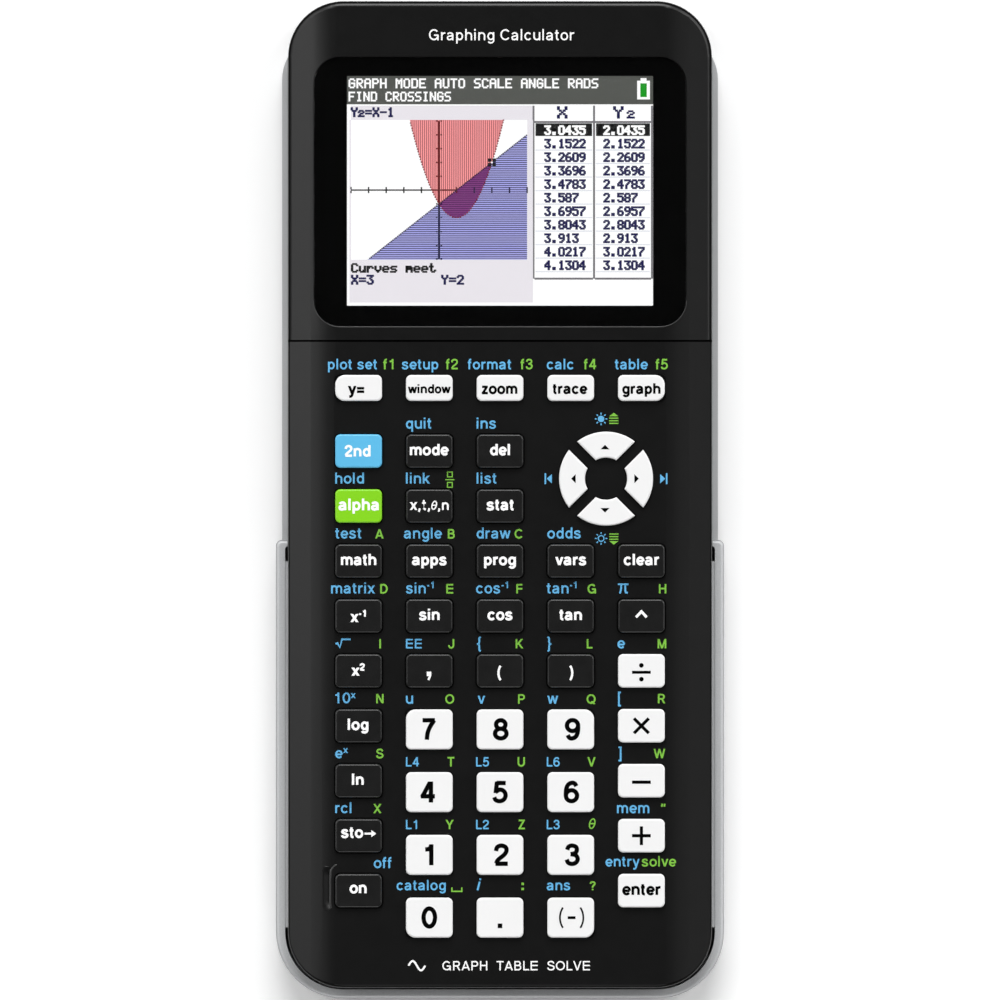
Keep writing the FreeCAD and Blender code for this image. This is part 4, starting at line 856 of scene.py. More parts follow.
# Above each key: blue words, how far they start right of the key's left edge, green words, and how far they
# end right of the key's right edge (in millimetres)
CASE_WORDS = {
    "y_equals": ("plot set", -1.4, "f1", 2.2),
    "window": ("setup", -0.8, "f2", 1.0),
    "zoom": ("format", -1.7, "f3", 1.8),
    "trace": ("calc", -0.1, "f4", 0.4),
    "graph": ("table", -0.6, "f5", 0.6),
    "mode": ("quit", 0, "", 0),
    "del": ("ins", 0, "", 0),
    "alpha": ("hold", 0, "", 0),
    "variable": ("link", 0, "", 0),
    "stat": ("list", 0, "", 0),
    "math": ("test", 0, "A", 0.3),
    "apps": ("angle", -0.4, "B", 0.4),
    "prgm": ("draw", 0, "C", -0.2),
    "vars": ("odds", 0, "", 0),
    "inverse": ("matrix", -0.8, "D", 1.1),
    "sin": ("sin|-1", 0, "E", 0.1),
    "cos": ("cos|-1", -0.1, "F", -0.2),
    "tan": ("tan|-1", -0.1, "G", 0.4),
    "power": ("π", 0, "H", 0.3),
    "square": ("√", 0, "I", -0.2),
    "comma": ("EE", 0, "J", 0.3),
    "open_paren": ("{", 0, "K", 0),
    "close_paren": ("}", 0, "L", -0.3),
    "divide": ("e", -0.1, "M", 0.3),
    "log": ("10|x", 0, "N", 0.3),
    "7": ("u", 0, "O", 0.3),
    "8": ("v", 0.2, "P", 0.3),
    "9": ("w", 0, "Q", 0.3),
    "multiply": ("[", 0, "R", 0.1),
    "ln": ("e|x", 0, "S", 0.3),
    "4": ("L4", 0, "T", 0.3),
    "5": ("L5", -0.1, "U", 0.3),
    "6": ("L6", -0.1, "V", 0.3),
    "minus": ("]", 0.1, "W", 0.1),
    "store": ("rcl", 0, "X", -0.1),
    "1": ("L1", 0, "Y", 0.2),
    "2": ("L2", -0.1, "Z", 0.3),
    "3": ("L3", -0.1, "", 0),
    "plus": ("mem", -0.2, "“", 0.2),
    "on": ("off", 7.4, "", 0),
    "0": ("catalog", -1.8, "", 0),
    "point": ("", 0, ":", 0.1),
    "negate": ("ans", -0.1, "?", 0.3),
    "enter": ("entry", -2.4, "solve", 2.2),
}


def above_key(key):
    """Where the legends above a key begin and end, and their baseline."""
    low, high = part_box("key_" + key)
    rise = LEGEND_RISE + (LAST_ROW_RISE if key in LAST_ROW else 0.0)
    return low.x + FLANGE_LIP, high.x - FLANGE_LIP, high.y - FLANGE_LIP + rise


def print_words(blue, green):
    for key, (blue_words, blue_shift, green_words, green_shift) in CASE_WORDS.items():
        left, right, base = above_key(key)
        share = EDGE_ROWS_SHARE if key in LAST_ROW + FUNCTION_KEYS else 1.0
        if blue_words:
            em = SIGN_EM if blue_words[0].isupper() else LEGEND_EM
            blue.text(blue_words, left + blue_shift * MM, base, em * share, LEGEND_WEIGHT)
        if green_words:
            em, weight = (SIGN_EM, SIGN_WEIGHT) if len(green_words) == 1 else (LEGEND_EM, LEGEND_WEIGHT)
            green.text(green_words, right + green_shift * MM, base, em * share, weight, "right")
    right, base = above_key("3")[1:]
    green.text("θ", right + 0.3 * MM, base, LEGEND_EM, 0.085, "right", lean=0.2)
    left, _, base = above_key("point")
    blue.text("i", left, base, LEGEND_EM * 1.08, LEGEND_WEIGHT, lean=0.25)


def draw_space(shape):
    """The space sign after "catalog"."""
    right, base = above_key("0")[1:]
    x, y = right - 0.15 * MM, base - LAST_ROW_RISE + 0.1 * MM
    end, rim = x + 1.9 * MM, y + 0.75 * MM
    shape.ribbon([(x, rim), (x, y), (end, y), (end, rim)], 0.13 * MM)


def draw_fraction(shape):
    """The stacked fraction above the variable key: two boxes and a bar."""
    right, base = above_key("variable")[1:]
    x, y, half = right - 0.55 * MM, base + 0.75 * MM, 0.46 * MM
    around = ((-1, -1), (1, -1), (1, 1), (-1, 1), (-1, -1))
    for middle in (y - 1.0 * MM, y + 1.0 * MM):
        corners = [(x + a * half, middle + b * half) for a, b in around]
        shape.ribbon(corners, 0.1 * MM)
    bars(shape, x, y, 1.75 * MM, 0.2 * MM, 0)


def draw_sun(shape, x, y, filled):
    outer = circle_points(x, y, (0.62 if filled else 0.55) * MM, 24)
    if filled:
        shape.solid(outer)
    else:
        shape.ribbon([*outer, outer[0]], 0.1 * MM)
    rays = (circle_points(x, y, radius * MM, 8) for radius in (0.84, 1.2))
    for near, far in zip(*rays):
        shape.ribbon([near, far], 0.11 * MM)


def draw_level(shape, x, y, up):
    """Three bars under or over a small triangle."""
    half, step = 0.88 * MM, 0.5 * MM
    levels = (step * share * up for share in (0.5, -0.5, -1.5))
    bars(shape, x, y - up * 0.1 * MM, 2 * half, 0.22 * MM, *levels)
    base = y + up * 0.5 * MM
    shape.solid([(x - half, base), (x + half, base), (x, base + up * 0.7 * MM)][::up])


def draw_skip(shape, x, y, side):
    """A triangle that points at an upright bar."""
    half = 1.05 * MM
    left, right = sorted((x + side * 0.72 * MM, x + side * 0.42 * MM))
    shape.box(left, y - half, right, y + half)
    tip, back = x + side * 0.3 * MM, x - side * 0.68 * MM
    shape.solid([(back, y - half * 0.85), (tip, y), (back, y + half * 0.85)][::side])


def draw_icons(blue, green):
    """The icons round the arrow keys."""
    x, y = arrow_centre()
    above, beside = 11.5 * MM, 11.1 * MM
    for side in (1, -1):
        draw_sun(blue, x - 0.95 * MM, y + side * above, filled=side > 0)
        draw_level(green, x + 1.5 * MM, y + side * above, side)
    for side in (-1, 1):
        draw_skip(blue, x + side * beside, y, side)


def print_ends(white):
    """Plain words at the ends of the case, what it is and what it does, and a wave."""
    low, high = cad_box
    white.text("Graphing Calculator", 0.3 * MM, high.y - 7.55 * MM, 3.0 * MM, 0.095, "centre")
    white.text("GRAPH  TABLE  SOLVE", 3.1 * MM, low.y + 5.5 * MM, 2.5 * MM, 0.1, "centre", 1.05)
    start, length, height = -17.6 * MM, 3.2 * MM, 0.9 * MM
    turns = [i / 24 for i in range(25)]
    wave = [(start + length * t, low.y + 6.4 * MM + height * math.sin(2 * math.pi * t)) for t in turns]
    white.ribbon(wave, 0.18 * MM)


def print_case():
    blue, green, white = Print(), Print(), Print()
    print_words(blue, green)
    draw_space(green)
    draw_fraction(green)
    draw_icons(blue, green)
    print_ends(white)
    inks = {"blue": (blue, blue_ink), "green": (green, green_ink), "white": (white, white_ink)}
    for colour, (shape, surface) in inks.items():
        name, slot = "case_legends_" + colour, "key_" + colour
        shape.make(name, surface, "calculator", slot, -INK_SUNK, INK_PROUD, case_height)


print_case()


# ---------------------------------------------------------------- display

# A dot-matrix alphabet, five dots wide and seven high, row by row from the top
DOTS = {
    "A": ".###. #...# #...# ##### #...# #...# #...#",
    "C": ".###. #...# #.... #.... #.... #...# .###.",
    "D": "####. #...# #...# #...# #...# #...# ####.",
    "E": "##### #.... #.... ####. #.... #.... #####",
    "F": "##### #.... #.... ####. #.... #.... #....",
    "G": ".###. #...# #.... #.### #...# #...# .###.",
    "H": "#...# #...# #...# ##### #...# #...# #...#",
    "I": ".###. ..#.. ..#.. ..#.. ..#.. ..#.. .###.",
    "L": "#.... #.... #.... #.... #.... #.... #####",
    "M": "#...# ##.## #.#.# #.#.# #...# #...# #...#",
    "N": "#...# ##..# ##..# #.#.# #..## #..## #...#",
    "O": ".###. #...# #...# #...# #...# #...# .###.",
    "P": "####. #...# #...# ####. #.... #.... #....",
    "R": "####. #...# #...# ####. #.#.. #..#. #...#",
    "S": ".#### #.... #.... .###. ....# ....# ####.",
    "T": "##### ..#.. ..#.. ..#.. ..#.. ..#.. ..#..",
    "U": "#...# #...# #...# #...# #...# #...# .###.",
    "X": "#...# #...# .#.#. ..#.. .#.#. #...# #...#",
    "Y": "#...# #...# .#.#. ..#.. ..#.. ..#.. ..#..",
    "e": "..... ..... .###. #...# ##### #.... .###.",
    "m": "..... ..... ##.#. #.#.# #.#.# #...# #...#",
    "r": "..... ..... #.##. ##..# #.... #.... #....",
    "s": "..... ..... .#### #.... .###. ....# ####.",
    "t": ".#... .#... ###.. .#... .#... .#..# ..##.",
    "u": "..... ..... #...# #...# #...# #..## .##.#",
    "v": "..... ..... #...# #...# #...# .#.#. ..#..",
    "0": ".###. #...# #...# #...# #...# #...# .###.",
    "1": "..#.. .##.. ..#.. ..#.. ..#.. ..#.. .###.",
    "2": ".###. #...# ....# ...#. ..#.. .#... #####",
    "3": "##### ...#. ..#.. ...#. ....# #...# .###.",
    "4": "...#. ..##. .#.#. #..#. ##### ...#. ...#.",
    "5": "##### #.... ####. ....# ....# #...# .###.",
    "6": "..##. .#... #.... ####. #...# #...# .###.",
    "7": "##### ....# ...#. ..#.. .#... .#... .#...",
    "8": ".###. #...# #...# .###. #...# #...# .###.",
    "9": ".###. #...# #...# .#### ....# ...#. .##..",
    "₂": "..... ..... .###. #...# ..##. .#... #####",
    "=": "..... ..... ##### ..... ##### ..... .....",
    "-": "..... ..... ..... ##### ..... ..... .....",
    ".": "..... ..... ..... ..... ..... .##.. .##..",
}
SCREEN_COLOURS = {
    "white": (255, 255, 255),
    "bar": (80, 82, 78),
    "lavender": (231, 227, 233),
    "black": (2, 2, 3),
    "navy": (6, 4, 70),
    "green": (12, 150, 22),
    "lines": (112, 110, 114),
    "rules": (226, 228, 234),
    "axis": (20, 20, 22),
    "axis_red": (92, 6, 6),
    "axis_blue": (12, 8, 52),
    "parabola": (120, 14, 34),
    "line": (14, 10, 44),
}
SCREEN_STRIPES = {
    "red": ((255, 168, 170), (166, 74, 78), X),
    "blue": ((186, 186, 244), (6, 6, 84), Y),
    "purple": ((134, 62, 132), (72, 8, 76), Y),
}
screen = {name: lit("screen_" + name, srgb(*colour)) for name, colour in SCREEN_COLOURS.items()}
for stripes, (first_colour, second_colour, across) in SCREEN_STRIPES.items():
    screen[stripes] = lit("screen_" + stripes, srgb(*first_colour), srgb(*second_colour), across)

# The screen's size and place, and the picture's layers
SCREEN_W, SCREEN_H = 58.9, 44.2
SCREEN_RISE = 0.2 * MM
LAYER = 0.02 * MM
lens_low, lens_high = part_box("display_lens")
screen_left = (lens_low.x + lens_high.x) / 2 - SCREEN_W * MM / 2
screen_top = (lens_low.y + lens_high.y) / 2 + SCREEN_RISE + SCREEN_H * MM / 2
panel_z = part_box("display_module")[1].z

# The picture, in millimetres right of and below the screen's top left corner
MARGIN = 0.2
BAR_HEIGHT = 5.45
BAND_TOP, BAND_BOTTOM = 5.7, 8.45
GRAPH = (0.77, 8.45, 34.7, 35.35)
ORIGIN = (17.72, 21.95)
UNIT_X, UNIT_Y = 3.39, 2.66
AXIS_LINE, TICK = 0.28, 0.6
TABLE = (35.9, 47.55, 58.7)
COLUMNS = list(zip(TABLE, TABLE[1:]))
HEADER_BOTTOM, TABLE_BOTTOM = 8.85, 39.0
TABLE_LINE = 0.38
ROWS, FIRST_ROW, ROW_PITCH = 11, 10.35, 2.6
MARK_RISE, MARK_DROP = 1.25, 1.2
NUMBER_LEFT, NUMBER_RISE = (37.95, 49.3), 0.88
FIRST_VALUE, VALUE_STEP = 70 / 23, 5 / 46

# Words: their place, the distance between letters, the letters' height and how thick their dots are
STATUS_WORDS = [
    ("GRAPH MODE AUTO SCALE ANGLE RADS", 0.3, 0.45, 1.508, 1.85, 1.25),
    ("FIND CROSSINGS", 0.3, 3.0, 1.42, 1.83, 1.25),
]
VALUE_WORDS = [
    ("X", 40.4, 5.8, 2.3, 2.3, 1.3),
    ("Y", 51.2, 5.8, 2.3, 2.3, 1.3),
    ("₂", 53.8, 6.0, 1.8, 2.1, 1.3),
    ("Y", 0.68, 6.0, 1.5, 1.8, 1.5),
    ("₂=X-1", 2.05, 6.0, 1.42, 1.8, 1.5),
    ("X=3", 0.75, 38.25, 1.5, 1.8, 1.5),
    ("Y=2", 18.1, 38.25, 1.5, 1.8, 1.5),
]
GRAPH_WORDS = [("Curves meet", 0.75, 36.0, 1.5, 1.75, 1.5)]


def at(right, down):
    """A point of the screen from millimetres right of and below its top left corner."""
    return screen_left + right * MM, screen_top - down * MM


class Layer(Print):
    """A flat piece of the picture. Its areas are in millimetres from the screen's top left corner."""

    def __init__(self, level):
        super().__init__()
        self.low = panel_z + level * LAYER

    def area(self, left, top, right, bottom):
        self.box(*at(left, bottom), *at(right, top))

    def square(self, x, y, size):
        self.area(x - size / 2, y - size / 2, x + size / 2, y + size / 2)

    def dots(self, words, left, top, pitch, height, thick):
        """Dot-matrix words. Each run of dots in a row is one area."""
        row_height, dot = height / 7, pitch * 0.8 / 5
        for number, sign in enumerate(words):
            for row, cells in enumerate(DOTS[sign].split() if sign != " " else []):
                y, column = top + row * row_height, 0
                for run in cells.split("."):
                    if run:
                        start = left + number * pitch + column * dot
                        end = start + (len(run) + (thick - 1) * 2) * dot
                        self.area(start, y, end, y + row_height * thick)
                    column += len(run) + 1

    def finish(self, name, colour):
        self.make(name, screen[colour], "calculator", "display", self.low, self.low + 0.8 * LAYER)


def graph_point(x, y):
    return ORIGIN[X] + x * UNIT_X, ORIGIN[Y] - y * UNIT_Y


def parabola(x):
    return (x - 1) ** 2 - 2


def straight(x):
    return x - 1


CROSSINGS = (0, 3)
CURSOR = graph_point(CROSSINGS[1], straight(CROSSINGS[1]))
CELL = 0.36
CEILING, X_END = 5.2, 5
REACH = math.sqrt(2 + CEILING)


def ceiling(x):
    return CEILING


def floor_line(x):
    return -CEILING


# Each shaded region's pieces: between which two functions, and from which x to which
REGIONS = {
    "red": [
        (parabola, ceiling, 1 - REACH, CROSSINGS[0]),
        (straight, ceiling, *CROSSINGS),
        (parabola, ceiling, CROSSINGS[1], 1 + REACH),
    ],
    "blue": [
        (floor_line, straight, -X_END, CROSSINGS[0]),
        (floor_line, parabola, *CROSSINGS),
        (floor_line, straight, CROSSINGS[1], X_END),
    ],
    "purple": [(parabola, straight, *CROSSINGS)],
}


def region(layer, low, high, start, end, steps=60):
    """Fills between two functions of x, inside the graph's window."""
    y_max, y_min = ((ORIGIN[Y] - edge) / UNIT_Y for edge in GRAPH[1::2])
    for i in range(steps):
        xs = [start + (end - start) * (i + k) / steps for k in (0, 1)]
        lows, highs = ([min(max(function(x), y_min), y_max) for x in xs] for function in (low, high))
        if max(b - a for a, b in zip(lows, highs)) >= 1e-6:
            corners = zip(xs + xs[::-1], lows + highs[::-1])
            layer.solid([at(*graph_point(x, y)) for x, y in corners])


def dotted(layer, function, start, end, pitch, size, steps=800):
    """Square dots along a function, evenly spaced."""
    left, top, right, bottom = GRAPH
    travelled, before = 0.0, None
    for i in range(steps + 1):
        x = start + (end - start) * i / steps
        point = graph_point(x, function(x))
        if not (left <= point[X] <= right and top <= point[Y] <= bottom):
            before = None
            continue
        travelled += math.dist(before, point) if before else 0.0
        before = point
        if travelled >= pitch:
            travelled -= pitch
            layer.square(*point, size)


def axis_lines(layer, x_from, x_to, y_from, y_to):
    """The parts of both axes, with a tick at each unit, between some values of x and of y."""
    half = AXIS_LINE / 2
    left, level = graph_point(x_from, 0)
    right = graph_point(x_to, 0)[X]
    if x_from < 1:
        layer.area(left, level - half, right, level + half)
    for n in range(math.ceil(x_from), math.floor(x_to) + 1):
        if n:
            x = graph_point(n, 0)[X]
            gap = half if n < 1 else 0
            layer.area(x - half, level - TICK, x + half, level - gap)
            layer.area(x - half, level + gap, x + half, level + TICK)
    middle, low = graph_point(0, y_from)
    high = graph_point(0, y_to)[Y]
    if y_to > y_from:
        layer.area(middle - AXIS_LINE * 0.7, high, middle + AXIS_LINE * 0.7, low)
    for n in range(math.ceil(y_from), math.floor(y_to) + 1):
        if n:
            y = graph_point(0, n)[Y]
            layer.area(middle - TICK, y - half, middle - AXIS_LINE, y + half)
            layer.area(middle + AXIS_LINE, y - half, middle + TICK, y + half)


def make_grounds():
    """The white ground, the status bar, and the pale bands round the graph."""
    ground, bar_layer, bands = Layer(0), Layer(1), Layer(1)
    ground.area(-MARGIN, -MARGIN, SCREEN_W + MARGIN, SCREEN_H + MARGIN)
    bar_layer.area(-MARGIN, -MARGIN, SCREEN_W + MARGIN, BAR_HEIGHT)
    left, _, right, bottom = GRAPH
    edge = TABLE[0] - 0.1
    bands.area(left, BAND_TOP, TABLE[0], BAND_BOTTOM)
    bands.area(right, BAND_BOTTOM, edge, bottom)
    bands.area(left - 0.3, BAND_BOTTOM, left, bottom)
    bands.area(left - 0.3, bottom, edge, SCREEN_H - 0.6)
    ground.finish("screen_ground", "white")
    bar_layer.finish("screen_status_bar", "bar")
    bands.finish("screen_bands", "lavender")


def make_graph():
    """The shaded regions, the axes in three tones, the curves, and the cursor's corners where they cross."""
    for colour, parts in REGIONS.items():
        shade = Layer(1)
        for part in parts:
            region(shade, *part)
        shade.finish("graph_" + colour, colour)

    edge = 1 - math.sqrt(2)
    axes = {"dark": (-X_END, edge, 0, 0), "red": (edge, 1, -1, 5), "blue": (1, X_END, -5, -1)}
    for tone, part in axes.items():
        lines = Layer(2)
        axis_lines(lines, *part)
        lines.finish("graph_axis_" + tone, "axis" if tone == "dark" else "axis_" + tone)

    first_curve, second_curve = Layer(3), Layer(4)
    dotted(first_curve, parabola, 1 - REACH, 1 + REACH, 0.52, 0.28)
    dotted(second_curve, straight, -X_END, X_END, 0.38, 0.26)
    first_curve.finish("graph_parabola", "parabola")
    second_curve.finish("graph_line", "line")

    cursor = Layer(4)
    for across in (-1, 1):
        for down in (-1, 1):
            place = (CURSOR[X] + across * 1.2 * CELL, CURSOR[Y] + down * 1.2 * CELL)
            cursor.square(*place, 1.9 * CELL)
    cursor.finish("graph_cursor", "black")


def make_cursor_dot():
    spark = Layer(4)
    spark.square(*CURSOR, CELL)
    spark.finish("graph_cursor_dot", "white")


def make_table():
    """The table's lines, the fine rules between its rows, and the black mark behind its first row."""
    lines, rules, marks = Layer(1), Layer(1), Layer(2)
    half, third = TABLE_LINE / 2, TABLE_LINE / 3
    for x in TABLE:
        lines.area(x - half, BAND_TOP, x + half, TABLE_BOTTOM)
    for y in (HEADER_BOTTOM, TABLE_BOTTOM):
        for x0, x1 in COLUMNS:
            lines.area(x0 + half, y - half, x1 - half, y + half)
    for x0, x1 in COLUMNS:
        marks.area(x0 + TABLE_LINE, FIRST_ROW - MARK_RISE, x1 - TABLE_LINE, FIRST_ROW + MARK_DROP)
    for row in range(1, ROWS):
        y = FIRST_ROW + (row + 0.5) * ROW_PITCH
        for x0, x1 in COLUMNS:
            rules.area(x0 + TABLE_LINE, y - third, x1 - TABLE_LINE, y + third)
    lines.finish("table_lines", "lines")
    rules.finish("table_rules", "rules")
    marks.finish("table_mark", "black")


def make_words(name, colour, level, rows, words):
    """Some rows of numbers in the table, and words."""
    layer = Layer(level)
    for row in rows:
        x = FIRST_VALUE + row * VALUE_STEP
        for left, number in zip(NUMBER_LEFT, (x, straight(x))):
            top = FIRST_ROW + row * ROW_PITCH - NUMBER_RISE
            layer.dots(f"{number:.4f}".rstrip("0"), left, top, 1.34, 1.75, 1.6)
    for place in words:
        layer.dots(*place)
    layer.finish(name, colour)


def make_battery_sign():
    cell, charge = Layer(2), Layer(3)
    cell.area(55.85, 0.9, 58.3, 4.5)
    cell.area(56.5, 0.4, 57.65, 0.9)
    charge.area(56.45, 1.4, 57.7, 4.05)
    cell.finish("battery_sign", "white")
    charge.finish("battery_sign_charge", "green")


make_grounds()
make_graph()
make_table()
make_words("screen_values", "navy", 3, range(1, ROWS), VALUE_WORDS)
make_cursor_dot()
make_words("screen_status_words", "white", 4, [0], STATUS_WORDS)
make_words("screen_words", "black", 3, [], GRAPH_WORDS)
make_battery_sign()


# ---------------------------------------------------------------- lens border, lip and hollow


def inset_box(low, high, inset, radius):
    return rounded_box(low.x + inset, low.y + inset, high.x - inset, high.y - inset, radius)


def make_lens_border():
    """Black print on the lens's underside, round the screen."""
    outer = inset_box(lens_low, lens_high, 0.12 * MM, 4.85 * MM)
    left, bottom = at(0.0, SCREEN_H)
    inner = rounded_box(left, bottom, *at(SCREEN_W, 0.0), 0.15 * MM)
    border = Print()
    border.strip(inner, outer, closed=True)
    low = lens_low.z + 0.02 * MM
    surface = moulded_plastic("border_black", grey(0.003), 0.5, specular=0.0)
    border.make("lens_border", surface, "calculator", "case_black", low, low + 0.03 * MM)


def make_bead(name, line, radius, level, surface):
    """A thin round bead along a line, half sunk in the case and tapered at its ends."""
    sides, taper_steps, thinnest = 10, 4, 0.35
    points = []
    for i, (x, y) in enumerate(line):
        before, after = line[max(i - 1, 0)], line[min(i + 1, len(line) - 1)]
        dx, dy = after[X] - before[X], after[Y] - before[Y]
        size = math.hypot(dx, dy)
        taper = min(1.0, thinnest + (1 - thinnest) * min(i, len(line) - 1 - i) / taper_steps)
        for side, rise in circle_points(0.0, 0.0, radius * taper, sides):
            points.append((x - dy / size * side, y + dx / size * side, level + rise))
    piece = new_piece(name, points, tube_faces(len(line), sides, way=-1), surface, smooth=True)
    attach(piece, "calculator")


def make_edges():
    """The lip beside the on key, which keeps a stray thumb off it, and the lower edge of the lens recess.
    Both are a lighter grey than the case: a painted highlight.
    """
    low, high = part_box("key_on")
    left, top = low.x + FLANGE_LIP, high.y - FLANGE_LIP
    knots = ((0.75, 1.85), (0.0, 1.6), (-0.6, 1.0), (-0.88, 0.1), (-0.9, -3.0), (-0.88, -6.0), (-0.4, -6.95))
    lip = smooth(*((left + x * MM, top + y * MM) for x, y in knots))
    level = case_height(left - 3 * MM, top + 4 * MM)
    # painted highlight: a lighter grey than the case's black, standing in for the sheen on rounded edges
    sheen = moulded_plastic("painted_edge_highlight", grey(0.035), 0.25)
    make_bead("power_guard", lip, 0.27 * MM, level + 0.03 * MM, sheen)
    # the lens recess's lower edge: a bead that stands in for a highlight line
    outline = inset_box(lens_low, lens_high, -0.1 * MM, 5.1 * MM)
    count = len(outline) // 4
    lower = outline[-count:] + outline[:count]
    make_bead("lens_recess_highlight", lower, 0.1 * MM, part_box("front_case")[1].z - 0.05 * MM, sheen)


GUARD_X, GUARD_Y = -33.35 * MM, -74.7 * MM
GUARD_WIDTH, GUARD_LENGTH, GUARD_DEPTH = 1.7 * MM, 8.6 * MM, 0.42 * MM
GUARD_FLOOR = 14.87 * MM
GUARD_EASE = 0.22


def ease(share):
    """Runs from 0 to 1 with soft ends."""
    share = min(1.0, share)
    return share * share * (3 - 2 * share)


def make_hollow():
    """Softens the slot beside the on key: its floor falls slowly towards the key and rises at both ends."""
    columns, rows = 12, 48
    beside = GUARD_WIDTH / 2 + 0.1 * MM
    points = []
    for row in range(rows + 1):
        y = GUARD_Y + (row / rows - 0.5) * GUARD_LENGTH
        left, right = (case_height(GUARD_X + side * beside, y) for side in (-1, 1))
        along = ease(min(row, rows - row) / (rows * GUARD_EASE))
        for share in (column / columns for column in range(columns + 1)):
            depth = GUARD_DEPTH * ease(share) * along + 0.012 * MM
            points.append((GUARD_X + (share - 0.5) * GUARD_WIDTH, y, left + (right - left) * share - depth))
    wide, under = columns + 1, len(points)
    points += [(x, y, GUARD_FLOOR) for x, y, z in points]
    faces = grid_faces(columns, rows)
    faces += [tuple(under + corner for corner in (a, d, c, b)) for a, b, c, d in faces]
    rim = list(range(columns))
    rim += [row * wide + columns for row in range(rows)]
    rim += [rows * wide + column for column in range(columns, 0, -1)]
    rim += [row * wide for row in range(rows, 0, -1)]
    faces += [(a, under + a, under + b, b) for a, b in zip(rim, rim[1:] + rim[:1])]
    piece = new_piece("power_guard_hollow", points, faces, surfaces["case_black"], smooth=True)
    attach(piece, "calculator")


make_edges()
make_hollow()


# ---------------------------------------------------------------- rubber keypad

MAT_THICKNESS, MAT_CORNER = 0.8 * MM, 2.0 * MM
DOME_GAP, DOME_FOOT = 0.1 * MM, 0.005 * MM
DOME_RADIUS, ARROW_DOME_RADIUS = 2.1 * MM, 1.5 * MM
DOME_PROFILE = ((1.0, 0.0), (0.92, 0.12), (0.74, 0.5), (0.66, 0.86), (0.6, 1.0))
DOME_SIDES = 32


def make_dome(key, bottom):
    """A rubber dome whose foot stands on the mat and whose top sits just under the key."""
    low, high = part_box("key_" + key)
    x, y, top = (low.x + high.x) / 2, (low.y + high.y) / 2, low.z - DOME_GAP
    radius = ARROW_DOME_RADIUS if key in ARROW_WAYS else DOME_RADIUS
    points = []
    for share, rise in DOME_PROFILE:
        ring = circle_points(x, y, radius * share, DOME_SIDES)
        points += [(px, py, bottom + (top - bottom) * rise) for px, py in ring]
    faces = tube_faces(len(DOME_PROFILE), DOME_SIDES)
    piece = new_piece("dome_" + key, points, faces, surfaces["silicone"])
    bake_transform(piece)
    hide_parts("rubber_keypad")


def make_rubber_keypad():
    """The mat, and one dome under each key."""
    low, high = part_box("rubber_keypad")
    mat = Print()
    mat.solid(inset_box(low, high, 0.0, MAT_CORNER))
    sheet_top = low.z + MAT_THICKNESS
    piece = mat.make("rubber_mat", surfaces["silicone"], "calculator", "silicone", low.z, sheet_top)
    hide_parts("rubber_keypad")
    for key in keys:
        make_dome(key, sheet_top + DOME_FOOT)


make_rubber_keypad()
make_lens_border()


# ---------------------------------------------------------------- studio


def make_floor():
    """A white table that is faintly lit from inside."""
    half, cells = 12.0, 12
    steps = [-half + 2 * half / cells * i for i in range(cells + 1)]
    surface = Surface("floor")
    tone = surface.mixed(surface.noise(8.0, 4.0), grey(0.95), grey(0.98))
    surface.shade({"Base Color": tone, "Roughness": 0.9, "Specular IOR Level": 0.1})
    surface.shade({"Emission Color": grey(1.0), "Emission Strength": 0.1})
    points = [(x, y, -0.0001) for y in steps for x in steps]
    floor = new_piece("floor", points, grid_faces(cells, cells), surface)


def make_light(name, kind, towards, off_vertical, distance=0.0):
    """A light that shines at the calculator. towards is its compass side in degrees from +X."""
    data = bpy.data.lights.new(name, kind)
    a, b = math.radians(towards), math.radians(off_vertical)
    source = Vector((math.cos(a) * math.sin(b), math.sin(a) * math.sin(b), math.cos(b)))
    light = new_object(name, data)
    light.location = source * distance
    light.rotation_euler = source.to_track_quat("Z", "Y").to_euler()
    return data


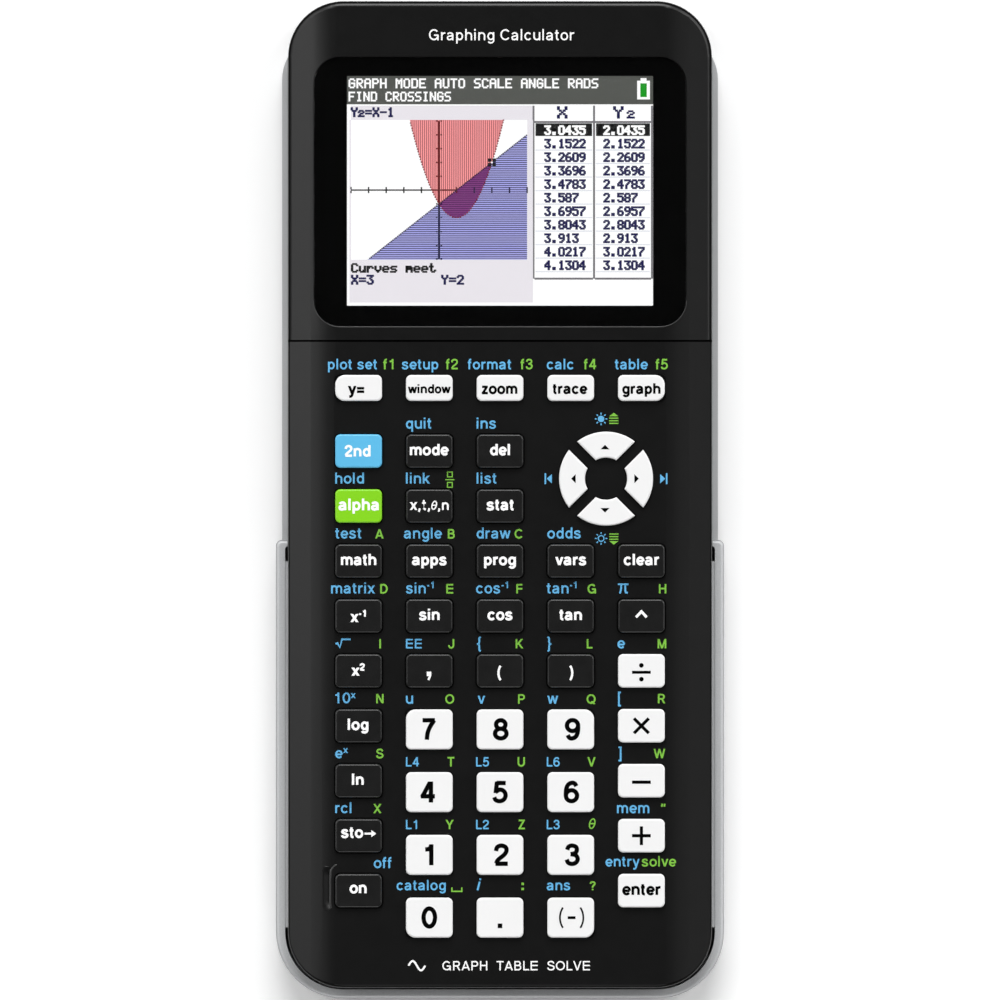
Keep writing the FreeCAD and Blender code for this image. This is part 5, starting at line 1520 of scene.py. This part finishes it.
def make_sun(name, towards, off_vertical, spread_angle, irradiance):
    """A broad soft source, like a far softbox."""
    data = make_light(name, "SUN", towards, off_vertical)
    data.energy = irradiance
    data.angle = math.radians(spread_angle)


def make_panel(name, towards, off_vertical, distance, width, length, radiance):
    """A soft panel that faces the calculator. width is across its compass direction's tilt."""
    data = make_light(name, "AREA", towards, off_vertical, distance)
    data.shape = "RECTANGLE"
    data.size, data.size_y = length, width
    data.energy = radiance * math.pi * width * length


def make_world():
    """A room that is pale near the horizon and dark overhead."""
    world = bpy.data.worlds.new("studio")
    bpy.context.scene.world = world
    room = Nodes(world)
    height = room.add("SeparateXYZ", {"Vector": room.add("TexCoord", {}, "Generated")}, Z)
    colour = room.add("ValToRGB", {"Fac": height}, "Color")
    room.feed(room.first("BACKGROUND"), {"Color": colour})
    stops = [(0.0, 0.9), (0.14, 0.9), (0.34, 0.28), (0.62, 0.06), (1.0, 0.025)]
    elements = colour.node.color_ramp.elements
    while len(elements) < len(stops):
        elements.new(0.5)
    for element, (place, value) in zip(elements, stops):
        element.position = place
        element.color = grey(value)


CAMERA_HEIGHT = 6.0
LENGTH_SHARE = 0.9967


def make_camera():
    """A long lens straight above, with the calculator's length filling nearly all of the picture."""
    low, high = cad_box
    data = bpy.data.cameras.new("camera")
    data.sensor_width = 36.0
    distance = CAMERA_HEIGHT - (low.z + high.z) / 2
    data.lens = data.sensor_width * distance * LENGTH_SHARE / (high.y - low.y)
    camera = new_object("camera", data)
    camera.location = ((low.x + high.x) / 2, (low.y + high.y) / 2, CAMERA_HEIGHT)
    bpy.context.scene.camera = camera


make_floor()
make_sun("top_light", 90, 50, 40, 2.4)
make_sun("left_light", 155, 55, 40, 0.78)
make_sun("right_light", 25, 55, 40, 1.2)
make_sun("front_light", 270, 62, 40, 0.6)
make_panel("left_panel", 158, 30, 1.6, 0.28, 0.75, 2.6)
make_panel("left_fill", 176, 19, 1.6, 0.45, 1.2, 0.4)
make_panel("right_fill", 4, 19, 1.6, 0.5, 1.2, 0.28)
make_world()
make_camera()
bpy.context.scene.view_settings.view_transform = "Standard"
